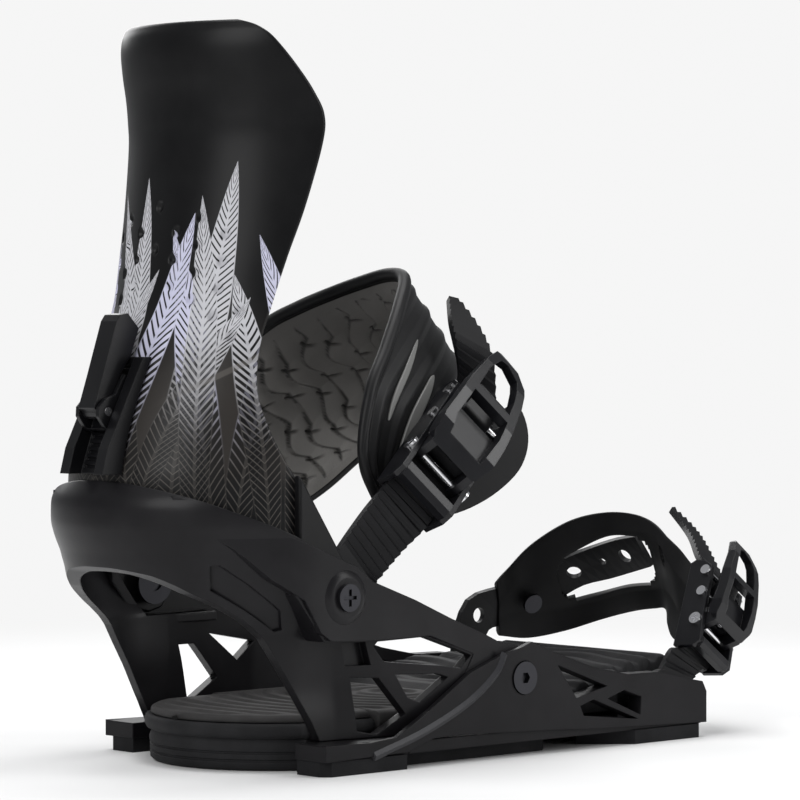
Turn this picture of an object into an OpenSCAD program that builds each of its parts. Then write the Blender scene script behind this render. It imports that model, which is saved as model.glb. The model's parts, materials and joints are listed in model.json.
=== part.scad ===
// Strap binding for a snowboard, as an assembly of separate pieces.
// Millimetres. +X points to the toe, +Y to the side without buckles, +Z up.
// The origin is the middle of the mounting disc, on the face that sits on the board.

/* [Base] */
// Half of the width over the base's side walls
base_half = 61.8; // [61:0.1:63]
// Thickness of the outer skin of a side wall
skin_t = 2.2; // [2:0.1:2.4]
// Distance between the board bolts, along and across the board
bolt_pitch = 40; // [38:1:42]
// Radius of a board bolt's clearance hole
bolt_r = 3.25; // [3:0.05:3.5]
// Height of the pads that touch the board
pad_h = 5; // [4:0.5:5.2]

/* [Heel hoop] */
// Outer radius of the hoop in plan
hoop_r = 59.3; // [59:0.1:59.4]
// Where the hoop's straight arms turn into its round back
hoop_x = -95.5; // [-97:0.5:-94]
// Thickness of the hoop's wall
hoop_t = 4.1; // [3.5:0.1:4.1]

/* [Highback] */
// Thickness of the shell
shell_t = 3.4; // [2.5:0.1:4]
// Height of the pivot line of the highback and the ankle strap
pivot_z = 62.5; // [62:0.5:63]
// Distance of that line behind the disc's middle
pivot_x = -87; // [-88:0.5:-86]

/* [Straps] */
// Thickness of the ladders and connector straps
strap_t = 3; // [2.6:0.1:3]
// Half width of the ankle ladder
ankle_ladder_half = 10.9; // [9:0.1:10.9]
// Half width of the toe ladder
toe_ladder_half = 9.3; // [8:0.1:9.4]
// Length of one ladder tooth
tooth = 3.6; // [3:0.1:5]
// Thickness of the ankle pad's soft liner
liner_t = 6; // [4:0.5:7]

/* [Fasteners] */
// Radius of the strap and hoop screws' shanks
shank_r = 3; // [2.5:0.1:3]
// Radial clearance of a turning fit
fit = 0.05; // [0.02:0.01:0.1]
// Gap between neighbouring bodies
gap = 0.3; // [0.2:0.05:0.4]

/* [Hidden] */
$fn = 48;
e = 0.01;

black = [0.09, 0.09, 0.10];
dark = [0.15, 0.15, 0.16];
grey = [0.33, 0.33, 0.34];
warm = [0.42, 0.42, 0.40];
steel = [0.72, 0.73, 0.75];

// ---- shared values -----------------------------------------------------------------------

skin_in = base_half - skin_t;
wall_in = 55;
floor_z = pad_h + 0.3;
floor_top = 9.6;
disc_r = 44;
ledge_r = 49;
hoop_in = hoop_r - hoop_t;
eye_out = hoop_in - gap;
eye_in = eye_out - strap_t;
ear_out = eye_in - gap;
ear_in = ear_out - shell_t;
nut_r = 4.4;
nut_flange_t = 1.6;
screw_x = -1;
screw_z = 29;
toe_x = 81;
toe_z = 17;
toe_eye_out = wall_in - gap;
toe_eye_in = toe_eye_out - strap_t;

// Buckle frames: origin on the ladder's toothed face, u along the ladder, n away from the boot
ankle_o = [-25.9, -48.8, 115.4];
ankle_u = [0.775, 0.204, 0.598];
ankle_n = [-0.033, -0.932, 0.361];
toe_o = [114.3, -48, 48];
toe_u = [0.51, 0.22, 0.822];
toe_n = [0.21, -0.968, 0.129];

// A buckle's sizes: length scale, half width inside its ears, height scale, pin radius
ankle_b = [1, 11.3, 1, 1.5];
toe_b = [0.68, 10.2, 0.82, 1.3];

// ---- small helpers -----------------------------------------------------------------------

function unit(v) = v / norm(v);
function square_to(n, u) = unit(n - (n * u) * u);

// Catmull-Rom curve through hand-chosen points, with n steps a span
function smooth(p, n) = [
    for (i = [0:len(p) - 2], k = [0:n - 1])
        let (t = k / n, a = p[max(i - 1, 0)], b = p[i], c = p[i + 1],
             d = p[min(i + 2, len(p) - 1)])
        0.5 * (2 * b + (c - a) * t + (2 * a - 5 * b + 4 * c - d) * t * t
               + (3 * b - a - 3 * c + d) * t * t * t),
    p[len(p) - 1]
];

// Unit normal of a grid of points at row i, place j
function grid_n(g, i, j) =
    let (a = len(g) - 1, b = len(g[0]) - 1)
    unit(cross(g[min(i + 1, a)][j] - g[max(i - 1, 0)][j],
               g[i][min(j + 1, b)] - g[i][max(j - 1, 0)]));

// The grid moved along its own normals
function raised(g, d) = [
    for (i = [0:len(g) - 1]) [for (j = [0:len(g[0]) - 1]) g[i][j] + d * grid_n(g, i, j)]
];

// Closed solid between two grids of the same size, the second on the normals' side
module between(lo, hi) {
    a = len(lo);
    b = len(lo[0]);
    m = a * b;
    pts = concat([for (r = lo) for (p = r) p], [for (r = hi) for (p = r) p]);
    quads = concat(
        [for (i = [0:a - 2], j = [0:b - 2])
            [m + i * b + j, m + i * b + j + 1, m + (i + 1) * b + j + 1, m + (i + 1) * b + j]],
        [for (i = [0:a - 2], j = [0:b - 2])
            [i * b + j, (i + 1) * b + j, (i + 1) * b + j + 1, i * b + j + 1]],
        [for (i = [0:a - 2]) [i * b, m + i * b, m + (i + 1) * b, (i + 1) * b]],
        [for (i = [0:a - 2])
            let (k = b - 1)
            [i * b + k, (i + 1) * b + k, m + (i + 1) * b + k, m + i * b + k]],
        [for (j = [0:b - 2]) [j, j + 1, m + j + 1, m + j]],
        [for (j = [0:b - 2])
            let (k = (a - 1) * b + j)
            [k, m + k, m + k + 1, k + 1]]
    );
    faces = [for (q = quads, h = [0, 1]) h == 0 ? [q[0], q[1], q[2]] : [q[0], q[2], q[3]]];
    polyhedron(pts, faces, convexity = 8);
}

// A skin on a grid, from one height along its normals to another
module skin(g, lo, hi) {
    between(raised(g, lo), raised(g, hi));
}

// A flat outline in X and Z, from y0 to y1
module slab(y0, y1, pts) {
    translate([0, y1, 0]) rotate([90, 0, 0]) linear_extrude(y1 - y0) polygon(pts);
}

// The same outline on both sides, between two distances from the middle plane
module both(d0, d1, pts) {
    slab(d0, d1, pts);
    slab(-d1, -d0, pts);
}

// A round bar along Y at x, z
module bar(x, z, r, y0, y1) {
    translate([x, y1, z]) rotate([90, 0, 0]) cylinder(h = y1 - y0, r = r);
}

module bars(x, z, r, d0, d1) {
    bar(x, z, r, d0, d1);
    bar(x, z, r, -d1, -d0);
}

module box(lo, hi) {
    translate(lo) cube(hi - lo);
}

// Children drawn in a buckle's own frame
module in_frame(o, u0, n0) {
    u = unit(u0);
    n = square_to(n0, u);
    v = cross(n, u);
    multmatrix([
        [u.x, v.x, n.x, o.x],
        [u.y, v.y, n.y, o.y],
        [u.z, v.z, n.z, o.z]
    ]) children();
}

// Children drawn at o with their Z along n
module along(o, n) {
    in_frame(o, cross(n, [0, 1, 0.1]), n) children();
}

// ---- base --------------------------------------------------------------------------------

// Outer skin of a side wall: low at the heel, a peak over the hoop screw, long nose to the toe
wall_outline = [
    [-98.5, floor_z], [-58.6, floor_z + 0.9], [-46.8, 10.1], [-35.4, 10.5], [17.2, 8.6],
    [36.3, 7.5], [97.4, floor_z + 0.4], [97.4, 17.6], [95.2, 21.6], [89.8, 22.6],
    [71.7, 26.6], [53.6, 26.9], [35.2, 30.7], [18.3, 36.2], [9.4, 39.3], [3, 42],
    [-2.5, 40.2], [-10, 38.8], [-28.9, 32.3], [-48.8, 20.2], [-64.4, 11.9], [-77, 10.8],
    [-98.5, 11.2]
];
nose_windows = [
    [[16.2, 32.6], [42.7, 23.1], [26.2, 19.7]],
    [[42.7, 18.4], [51.7, 21], [61.1, 17.9], [60.6, 11.1]],
    [[28.1, 16.6], [35.2, 18.6], [59.6, 9.6], [30.1, 12.8]]
];

module baseplate() {
    color(black) difference() {
        union() {
            both(skin_in, base_half, wall_outline);
            // thick nose of the wall, ahead of the hoop's arms
            both(wall_in, skin_in + e, [
                [18, 8.6], [36.3, 7.5], [97.4, floor_z + 0.4], [97.4, 17.6], [95.2, 21.6],
                [89.8, 22.6], [71.7, 26.6], [53.6, 26.9], [35.2, 30.7], [18, 36]
            ]);
            // foot rails beside the heel cushion
            both(45.6, skin_in + e, [
                [-98.5, floor_z], [-55, floor_z], [-55, 11], [-98.5, 11]
            ]);
            // floor with the ring that holds the disc
            box([-57, -wall_in - 5, floor_z], [96, wall_in + 5, floor_top]);
            translate([0, 0, floor_z]) cylinder(h = 12 - floor_z, r = ledge_r + 4, $fn = 96);
        }
        for (w = nose_windows) both(wall_in - 1, base_half + 1, w);
        translate([0, 0, -1]) cylinder(h = 20, r = disc_r + gap, $fn = 96);
        translate([0, 0, 8]) cylinder(h = 20, r = ledge_r + gap, $fn = 96);
        bars(screw_x, screw_z, shank_r + fit, skin_in - 1, base_half + 1);
        bars(screw_x, screw_z, 6.2, base_half - 0.8, base_half + 1);
        bars(toe_x, toe_z, shank_r + fit / 2, wall_in - 1, base_half - 1.4);
        // slots for the toe strap's eyes
        both(50.6, wall_in, [
            [toe_x - 12, 6.5], [toe_x + 17, 6.5], [toe_x + 17, 12], [toe_x - 12, 12]
        ]);
        // lightening pockets in the floor under the toe ramp
        for (y = [-30, 0, 30]) box([66, y - 11, floor_z - 1], [90, y + 11, floor_top + 1]);
    }
}

module rear_board_pads() {
    color(black) for (s = [-1, 1]) linear_extrude(floor_z - e) polygon([
        [-98, s * 46], [-98, s * 58], [-95, s * 61], [-59, s * 61], [-59, s * 46]
    ]);
}

module front_board_pads() {
    color(black) for (s = [-1, 1]) linear_extrude(floor_z - e) polygon([
        [42, s * 46], [58.5, s * 61], [94, s * 61], [97, s * 58], [97, s * 46]
    ]);
}

module mid_cushions() {
    color(dark) for (s = [-1, 1]) linear_extrude(floor_z - gap) polygon([
        [-55, s * 48.5], [-51, s * 52], [18, s * 52], [22, s * 48.5], [14, s * 46],
        [-48, s * 46]
    ]);
}

// Rounded heel outline in plan, grown or shrunk by d
function heel_outline(d) = concat(
    [[-60, -44.5 - d], [-60, 44.5 + d]],
    [for (a = [58:-4:-58])
        [-56 - (60 + d) * cos(a), max(-44.5 - d, min(44.5 + d, (51 + d) * sin(a)))]]
);

module heel_cushion() {
    color(dark) {
        linear_extrude(8) polygon(heel_outline(-1.2));
        translate([0, 0, 8 - e]) linear_extrude(4) polygon(heel_outline(-0.2));
        translate([0, 0, 12 - 2 * e]) linear_extrude(5) polygon(heel_outline(0.6));
    }
}

module heel_footbed() {
    color(grey) {
        translate([0, 0, 17.2]) linear_extrude(2.8) polygon(heel_outline(-2.5));
        box([-60 - e, -47.5, 12.6], [6, 47.5, 20]);
        for (x = [-104:8:0]) box([x, -36, 20 - e], [x + 3.4, 36, 21]);
    }
}

module toe_ramp() {
    color(dark) difference() {
        slab(-54.6, 54.6, [
            [7, 12.6], [55, 12.6], [55, 10], [96.5, 10], [96.5, 27], [92, 31.2], [80, 31],
            [60, 28.5], [30, 24], [12, 21.4], [7, 19]
        ]);
        // wave grooves across the ramp
        for (k = [0:5]) slab(-56, 56, [
            [20 + 12 * k, 23.6 + 1.7 * k], [23.4 + 12 * k, 23.9 + 1.7 * k],
            [25 + 12 * k, 30 + 1.7 * k], [19 + 12 * k, 30 + 1.7 * k]
        ]);
        // room for the strap eyes and their screws
        for (s = [-1, 1]) box([58, min(s * 46, s * 57), 9], [98, max(s * 46, s * 57), 40]);
    }
}

module mounting_disc() {
    color(black) difference() {
        union() {
            cylinder(h = 8.4, r = disc_r, $fn = 96);
            translate([0, 0, 8 + gap]) cylinder(h = 3.7, r = ledge_r, $fn = 96);
        }
        for (x = [-1, 1], y = [-1, 1]) translate([x * bolt_pitch / 2, y * bolt_pitch / 2, 0]) {
            translate([0, 0, -1]) cylinder(h = 20, r = bolt_r);
            translate([0, 0, 8]) cylinder(h = 10, r = 6.2);
        }
    }
}

// ---- heel hoop ---------------------------------------------------------------------------

// Plate that carries the pivots: rim, proud lower edge, and the front end at the hex screw
arm_outline = [
    [-144.3, 99.1], [-129.3, 92.8], [-109.1, 84.2], [-94.4, 78.2], [-81, 72.9], [-73.7, 67.5],
    [-53.3, 60], [-36, 52.6], [-19.3, 46.1], [-11, 42.4], [-0.6, 39.8], [8, 36.5],
    [12.5, 30], [11, 22], [4, 17.2], [-20, 13.5], [-30, 30], [-24.5, 38.9], [-45.7, 46.8],
    [-75.3, 46.7], [-93.4, 47.4], [-98.2, 50.5], [-105.1, 62.2], [-117.3, 69.7],
    [-129.3, 80.6], [-143.9, 91.1]
];
// Shell of the hoop behind and below that plate, cut back round the ears
back_outline = [
    [-160, 105], [-150.7, 103.5], [-143.5, 99.9], [-129.8, 93.6], [-109.3, 85.1],
    [-104.9, 83], [-104.9, 66.4], [-93, 50.5], [-54, 50.5], [-45, 48], [-19, 42], [-0.6, 37],
    [10, 33], [11, 22], [4, 17.2], [-20, 13.5], [-60, 11.3], [-90, 11.3], [-93.7, 18.5],
    [-102.4, 33], [-112.3, 48.4], [-116, 52], [-120.5, 55.5], [-129, 60.8], [-136, 64.6],
    [-145.3, 70.9], [-150.8, 73.2], [-160, 74]
];
// Height and outer radius of that shell
back_rows = [
    [11, 49], [18.5, 48.7], [33, 47.3], [48, 48], [52, 48.5], [58, 51], [62, 52.5], [65, 53.5],
    [68, 54.6], [72, 55.4], [75.5, 56.4], [77.5, 56.9], [82, 58.6], [85, 59.5], [88, 60.1],
    [94, 60.1], [97, 59.6], [99.6, 58.3], [103.6, 55.8]
];
near_windows = [
    [[-66.6, 43.6], [-65.1, 45.3], [-45.7, 46.2], [-25.5, 38.6], [-30.8, 34.2],
     [-39, 35.5], [-62.3, 38]],
    [[-75.9, 33], [-64.4, 32.3], [-53.9, 19], [-65.9, 12.2], [-74, 13.9]],
    [[-57.6, 33.1], [-40.3, 32.7], [-36.1, 31.3], [-48, 22.7], [-52.9, 24.7]]
];
far_windows = [
    [[-77.1, 38.9], [-68, 38.7], [-54, 25], [-70.5, 16.5]],
    [[-59, 42], [-31.5, 37.2], [-42, 30.6]]
];
pocket = [[-133.6, 74.7], [-131.2, 75.1], [-108.6, 58.4], [-106, 51.5], [-109, 51], [-132.2, 66.1]];

// U of wall in plan, from radius r0 out to r1
module hoop_plan(r0, r1) {
    difference() {
        union() {
            translate([hoop_x, 0]) circle(r = r1, $fn = 128);
            translate([hoop_x, -r1]) square([120, 2 * r1]);
        }
        translate([hoop_x, 0]) circle(r = r0, $fn = 128);
        translate([hoop_x, -r0]) square([130, 2 * r0]);
    }
}

// One side's straight run in plan: it widens towards the toe until it meets the arm
back_run = [12, -20, -32, -45, -58, -71, -84];
function widened(r, x) = r + (hoop_r - 0.3 - r) * min(1, max(0, (x + 85) / 53));
// Outline of the shell at radius r in plan, from the near side round the back, shrunk by d
function back_line(r, d) = concat(
    [for (x = back_run) [x, d - widened(r, x)]],
    [for (a = [-90:7.5:90]) [hoop_x - (r - d) * cos(a), (r - d) * sin(a)]],
    [for (i = [6:-1:0]) [back_run[i], widened(r, back_run[i]) - d]]
);
// The wall is 4.1 mm thick low down and leaves room for the highback above
function back_grid(inner) = [
    for (k = back_rows)
        let (d = !inner ? 0 : k[0] < 75 ? hoop_t : max(k[1] - 55.5, min(hoop_t, k[1] - 54.6)))
        [for (q = back_line(k[1], d)) [q.x, q.y, k[0]]]
];

module heel_hoop() {
    color(black) difference() {
        union() {
            intersection() {
                linear_extrude(120) hoop_plan(hoop_in, hoop_r);
                slab(-80, 80, arm_outline);
            }
            difference() {
                intersection() {
                    between(back_grid(true), back_grid(false));
                    slab(-80, 80, back_outline);
                }
                for (w = near_windows) slab(-80, 0, w);
                for (w = far_windows) slab(0, 80, w);
                // blind pocket ahead of the near strut
                slab(-80, -47.6, [[-79.5, 45.4], [-70.1, 45.5], [-67.5, 37.1], [-77.9, 37.2]]);
            }
            // webs that join the shell to the plate, below and behind the pivots
            both(45.5, 57.5, [
                [-104.9, 76], [-104.9, 66.4], [-93, 50.5], [-58, 50.5], [-58, 47], [-95, 47],
                [-108.3, 64], [-108.3, 76]
            ]);
            // proud boss round each strap screw
            bars(pivot_x, pivot_z, 9.6, hoop_r - 1, hoop_r + 1.2);
        }
        // long pocket on each side of the round back
        intersection() {
            between(raised(back_grid(false), -1.3), raised(back_grid(false), 2));
            slab(-80, 80, pocket);
        }
        bars(pivot_x, pivot_z, nut_r + fit, hoop_in - 1, hoop_r - 1.2);
        bars(pivot_x, pivot_z, shank_r + fit, hoop_in - 1, hoop_r + 3);
        bars(screw_x, screw_z, shank_r + fit, hoop_in - 1, hoop_r + 1);
        // seats for the nuts behind the strap screws
        bars(screw_x, screw_z, 7.4, hoop_in - 5, hoop_in + e);
    }
}

// Countersunk screws that hold the hoop to the base, with a hex socket
module hoop_screws() {
    color(steel) difference() {
        union() {
            bars(screw_x, screw_z, 6, base_half - 0.7, base_half + 0.6);
            bars(screw_x, screw_z, shank_r, 51, base_half);
        }
        for (s = [-1, 1]) translate([screw_x, s * (base_half + 1), screw_z])
            rotate([90, 0, 0]) cylinder(h = 4, r = 2.2, center = true, $fn = 6);
    }
}

module hoop_nuts() {
    color(steel) difference() {
        bars(screw_x, screw_z, 7, hoop_in - gap - 2.5, hoop_in - e);
        bars(screw_x, screw_z, shank_r + fit / 2, 40, 60);
    }
}

// Cross-head screw on the pivot line, through hoop, strap eye and highback ear
module pivot_screws() {
    color(steel) difference() {
        union() {
            bars(pivot_x, pivot_z, 4.9, hoop_r + 1.2 + e, hoop_r + 2.6);
            bars(pivot_x, pivot_z, shank_r, ear_in - 1, hoop_r + 2);
        }
        for (s = [-1, 1], a = [0, 90]) translate([pivot_x, s * (hoop_r + 2.6), pivot_z])
            rotate([0, a, 0]) cube([6, 2, 1.3], center = true);
    }
}

// Barrel nuts: the barrel is the axle that the ear and the strap eye turn on
module pivot_nuts() {
    color(steel) difference() {
        union() {
            bars(pivot_x, pivot_z, 8, ear_in - gap - nut_flange_t, ear_in - gap);
            bars(pivot_x, pivot_z, nut_r, ear_in - gap - e, hoop_r - 1.5);
        }
        bars(pivot_x, pivot_z, shank_r + fit / 2, ear_in - 4, hoop_r + 1);
    }
}

module toe_strap_screws() {
    color(steel) difference() {
        union() {
            bars(toe_x, toe_z, 5.6, toe_eye_in - gap - 2.2, toe_eye_in - gap);
            bars(toe_x, toe_z, shank_r, toe_eye_in - gap - e, base_half - 1.6);
        }
        for (s = [-1, 1]) translate([toe_x, s * (toe_eye_in - 3), toe_z])
            rotate([90, 0, 0]) cylinder(h = 3, r = 2.1, center = true, $fn = 6);
    }
}

// ---- highback ----------------------------------------------------------------------------

// One row per height: height, rear line x, plan radius, half angle of the shell
shell_rows = [
    [76, -149.5, 51.3, 93], [90, -150, 51.4, 93], [104, -150, 51.4, 86], [112, -148.6, 51.2, 79],
    [122, -146.3, 51.2, 70.5], [135, -141.4, 51.8, 60.5], [150, -135, 53, 54.6],
    [165, -128.8, 54, 53.2], [182, -125.4, 55.5, 55], [200, -122.5, 57, 58],
    [222, -120.3, 58, 61.6], [232, -120.5, 58.5, 61.9], [240, -121.2, 59, 58.4],
    [248, -122.4, 59.8, 53.4], [256, -123.2, 60.3, 47.6], [261, -122.8, 60.4, 42.8],
    [264, -121.6, 60.2, 37.5], [266, -120.4, 60, 30]
];
ear_outline = [
    [-104, 66], [-92, 52.5], [-86, 51], [-80.6, 53.2], [-77, 57.5], [-76.8, 64], [-83, 75],
    [-102.5, 104], [-104, 106]
];

function shell_grid() =
    let (rows = smooth(shell_rows, 2))
    [for (k = rows) [for (j = [-12:12])
        let (a = k[3] * j / 12)
        [k[1] + k[2] - k[2] * cos(a), k[2] * sin(a), k[0]]]];

module highback() {
    color(black) difference() {
        union() {
            skin(shell_grid(), -shell_t, 0);
            both(ear_in, ear_out, ear_outline);
        }
        bars(pivot_x, pivot_z, nut_r + fit, ear_in - 2, ear_out + 2);
    }
}

// The spine leans forward as it rises: x of the shell's back at height z
function spine(z) = lookup(z, [for (k = smooth(shell_rows, 2)) [k[0], k[1]]]);

// Straight track that the lean block slides on, behind the spine
lean_lo = 106;
lean_hi = 147;
function track(z) = -152.6 + 0.3463 * (z - lean_lo);
lean_pin_x = -151;
lean_pin_z = 128;

// Rails and toothed track on the spine
function up_spine(d) = [for (z = [lean_hi:-5.125:lean_lo]) [spine(z) + d, z]];
module lean_guide() {
    color(dark) {
        both(7, 12, concat(up_spine(0.35), [
            [-158, lean_lo], [-155.6, 115], [-139.6, lean_hi]
        ]));
        difference() {
            slab(-7 - e, 7 + e, concat(up_spine(-0.05), [
                [track(lean_lo), lean_lo], [track(lean_hi), lean_hi]
            ]));
            for (z = [lean_lo + 2:2.5:lean_hi - 3]) slab(-6, 6, [
                [track(z) + 0.7, z], [track(z) - 1, z], [track(z + 1.2) - 1, z + 1.2],
                [track(z + 1.2) + 0.7, z + 1.2]
            ]);
        }
    }
}

// Block that slides down the track towards the hoop's rim to lean the shell forward
module lean_block() {
    color(dark) difference() {
        slab(-6.6, 6.6, [
            [track(121) - 0.5, 121], [track(140.4) - 0.5, 140.4], [-143.6, 140.8],
            [-147.6, 134], [-152, 132.4], [-155, 129.5], [-155.2, 126.2], [-152.6, 122.6],
            [-150.5, 121]
        ]);
        bar(lean_pin_x, lean_pin_z, 1.5 + fit, -8, 8);
        // slot between the block's cheeks for the lever's root
        slab(-4.8, 4.8, [
            [track(122) - 2.6, 122], [-160, 122], [-160, 145], [track(145) - 2.6, 145]
        ]);
    }
}

module lean_lever_pin() {
    color(steel) bar(lean_pin_x, lean_pin_z, 1.5, -6.5, 6.5);
}

// Lever that clamps the block; it hinges at its foot and opens to the rear
module lean_lever() {
    color(black) difference() {
        union() {
            bar(lean_pin_x, lean_pin_z, 2.9, -4.5, 4.5);
            slab(-4.5, 4.5, [
                [-153.6, 127.2], [-155.6, 129.2], [-151.9, 140], [-145.5, 159.5],
                [-143.8, 161.8], [-140.5, 162.3], [-135.6, 157], [-139.4, 147], [-143.6, 141.5],
                [-145.3, 137], [-147.8, 129.6], [-148.3, 127]
            ]);
        }
        bar(lean_pin_x, lean_pin_z, 1.5 + fit, -8, 8);
    }
}

// ---- ankle strap -------------------------------------------------------------------------

// Rear and front rail of the ankle pad, from the buckle side over the instep to the far side
pad_rear = [
    [-55.3, -41.1, 95], [-61.3, -40.1, 110], [-55.3, -38.1, 133], [-43.3, -33.1, 148],
    [-30, -25.8, 163], [-18, -15.9, 174], [-15, -4, 176], [-17, 10, 173], [-21, 22, 169],
    [-29, 30.8, 164], [-39.1, 38.7, 157], [-53.1, 43.7, 143], [-69.1, 46.7, 112]
];
pad_front = [
    [-40.2, -38.9, 87], [-28.2, -37.9, 92], [-8.2, -36.4, 106], [6.8, -30.9, 118],
    [17.1, -20.6, 126], [22.7, -9.1, 131], [25.4, 3.5, 131.5], [23, 15, 127], [18, 26.9, 119],
    [10, 37.8, 109], [-4.1, 42.7, 97], [-17.1, 45.2, 89], [-33.1, 46.7, 80]
];
pad_crown = 1.8;
pad_t = 1.7;

// Rows of points from the rear rail to the front rail; the first is w0 rows past the rear rail
function pad_grid(w0, steps) =
    let (a = smooth(pad_rear, steps), b = smooth(pad_front, steps), m = len(a) - 1)
    [for (k = [0:6])
        let (t = (k == 0 ? w0 : k) / 6)
        [for (i = [0:m])
            let (q = a[i] * (1 - t) + b[i] * t, r = q - [-10, 4, 110])
            q + pad_crown * sin(180 * t) * sin(180 * i / m) * unit([r.x * 0.4, r.y, r.z])]];

// Holes through the pad: one for the buckle's rivet, one along Y for the strap's screw
module pad_holes(r) {
    in_frame(ankle_o, ankle_u, ankle_n) translate([-8, 0, -24]) cylinder(h = 24, r = 2.15);
    bar(-47, 95, r, 30, 60);
}

module ankle_pad_frame() {
    color(black) difference() {
        skin(pad_grid(-0.4, 3), 0, pad_t);
        pad_holes(2.5);
    }
}

// The liner is full in the middle and thins towards its rails
module ankle_pad_liner() {
    g = pad_grid(0, 3);
    deep = [for (i = [0:6])
        let (d = liner_t * (0.35 + 0.65 * sin(30 * i)))
        [for (j = [0:len(g[0]) - 1]) g[i][j] - d * grid_n(g, i, j)]];
    color(warm) difference() {
        between(deep, raised(g, -e));
        pad_holes(6.3);
    }
}

// Smooth flap under the buckle
module ankle_pad_wing() {
    color(grey) in_frame(ankle_o, ankle_u, ankle_n) translate([0, 0, -7.6]) difference() {
        linear_extrude(2) polygon(smooth([
            [-31, -8], [-21, -16], [-8, -23], [6, -27.7], [20.6, -30], [32, -28], [40, -22.5],
            [43, -15], [34, -11], [16, -10], [14, 2], [-8, 6], [-30, 2], [-31, -8]
        ], 4));
        translate([-8, 0, -1]) cylinder(h = 5, r = 2.1);
    }
}

// Strap from centre points, half widths and width directions
function strap_grid(c, h, w, n) =
    let (a = smooth([for (i = [0:len(c) - 1]) c[i] + h[i] * unit(w[i])], n),
         b = smooth([for (i = [0:len(c) - 1]) c[i] - h[i] * unit(w[i])], n))
    [a, (a + b) / 2, b];

module eye_hole(x, z, d0, d1) {
    bar(x, z, nut_r + fit, d0, d1);
}

ankle_connector_path = [
    [-87, 53.4, 62.5], [-78, 53.4, 70], [-66, 53.6, 79.5], [-52, 54, 91], [-40, 54, 100]
];

module ankle_connector() {
    color(black) difference() {
        union() {
            skin(strap_grid(ankle_connector_path, [8, 9.5, 10.5, 10.5, 9.5],
                            [for (i = [0:4]) [-0.62, 0, 0.78]], 3),
                 -strap_t / 2, strap_t / 2);
            bar(pivot_x, pivot_z, 11, eye_in, eye_out);
        }
        eye_hole(pivot_x, pivot_z, 40, 60);
        // spare adjusting holes
        for (k = [0, 1]) bar(-70 + 9 * k, 76 + 7.4 * k, 2.6, 40, 60);
        bar(-47, 95, 2.5, 40, 60);
    }
}

module ankle_connector_screw() {
    color(steel) difference() {
        union() {
            bar(-47, 95, 5, 55.9, 57.5);
            bar(-47, 95, 2.4, 43.8, 55.9 + e);
        }
        translate([-47, 57.5, 95]) cube([6, 1.2, 1.2], center = true);
        translate([-47, 57.5, 95]) cube([1.2, 1.2, 6], center = true);
    }
}

module ankle_connector_nut() {
    color(steel) difference() {
        bar(-47, 95, 6, 43.8, 45.4);
        bar(-47, 95, 2.43, 40, 50);
    }
}

// Length along a path at each of its points
function lengths(p) = [
    for (i = 0, s = 0; i < len(p); s = s + norm(p[min(i + 1, len(p) - 1)] - p[i]), i = i + 1) s
];

// Value at length q of a list of points p that belongs to the lengths s
function along(q, s, p) = [
    for (k = [0:2]) lookup(q, [for (i = [0:len(s) - 1]) [s[i], p[i][k]]])
];

// The same rows with evenly spaced columns
function even(g, step) =
    let (s = lengths(g[1]), n = floor(s[len(s) - 1] / step))
    [for (row = g) [for (k = [0:n]) along(k * s[len(s) - 1] / n, s, row)]];

// Ladder with a saw-toothed outer face: centre points, half widths, width directions
module ladder(c, h, w, thick, plain) {
    g = even(strap_grid(c, h, w, 4), tooth / 3);
    top = [for (i = [0:2]) [for (j = [0:len(g[0]) - 1])
        let (d = j < plain ? 0.5 : 0.5 * (j % 3))
        g[i][j] + (thick / 2 - 1 + d) * grid_n(g, i, j)]];
    between(raised(g, -thick / 2), top);
}

function place(o, u0, n0, x, z) =
    let (u = unit(u0), n = square_to(n0, u)) o + x * u + z * n;
function across(u0, n0) = let (u = unit(u0), n = square_to(n0, u)) cross(n, u);

ankle_v = across(ankle_u, ankle_n);
toe_v = across(toe_u, toe_n);

module ankle_ladder() {
    color(black) difference() {
        union() {
            ladder(
                [[-87, -53.4, 62.5], [-77.6, -53.4, 72.2], [-63.6, -53.5, 85.2],
                 place(ankle_o, ankle_u, ankle_n, -34, -2.3),
                 place(ankle_o, ankle_u, ankle_n, -12, -2.3),
                 place(ankle_o, ankle_u, ankle_n, 12, -2.3),
                 place(ankle_o, ankle_u, ankle_n, 25, -2.3),
                 [-6, -40.5, 146], [-3, -33, 157], [0.5, -22, 168]],
                [9, 10.5, ankle_ladder_half, ankle_ladder_half, ankle_ladder_half,
                 ankle_ladder_half - 0.8, ankle_ladder_half - 1.2, 9, 7, 2],
                [[-0.68, 0, 0.73], [-0.68, 0, 0.73], [-0.66, 0.1, 0.73], ankle_v, ankle_v,
                 ankle_v, ankle_v, [-0.75, 0.3, 0.5], [-0.85, 0.3, 0.35], [-0.9, 0.3, 0.2]],
                strap_t, 14);
            bar(pivot_x, pivot_z, 11, -eye_out, -eye_in);
        }
        eye_hole(pivot_x, pivot_z, -60, -40);
    }
}

// ---- buckles -----------------------------------------------------------------------------
// In a buckle's frame x runs along the ladder to its free end, z away from the boot.
// b holds the length scale, the half width inside the ears, the height scale, the pin radius.

function bx(b, pts) = [for (p = pts) [p.x * b[0], p.y * b[2]]];
lever_pin = [-18, 4];
release_pin = [0, 4.2];
guide_pin = [14, 4];
drive_pin = [-10.2, 7.4];

module pin(b, at, r, half) {
    bar(at.x * b[0], at.y * b[2], r, -half, half);
}

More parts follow.
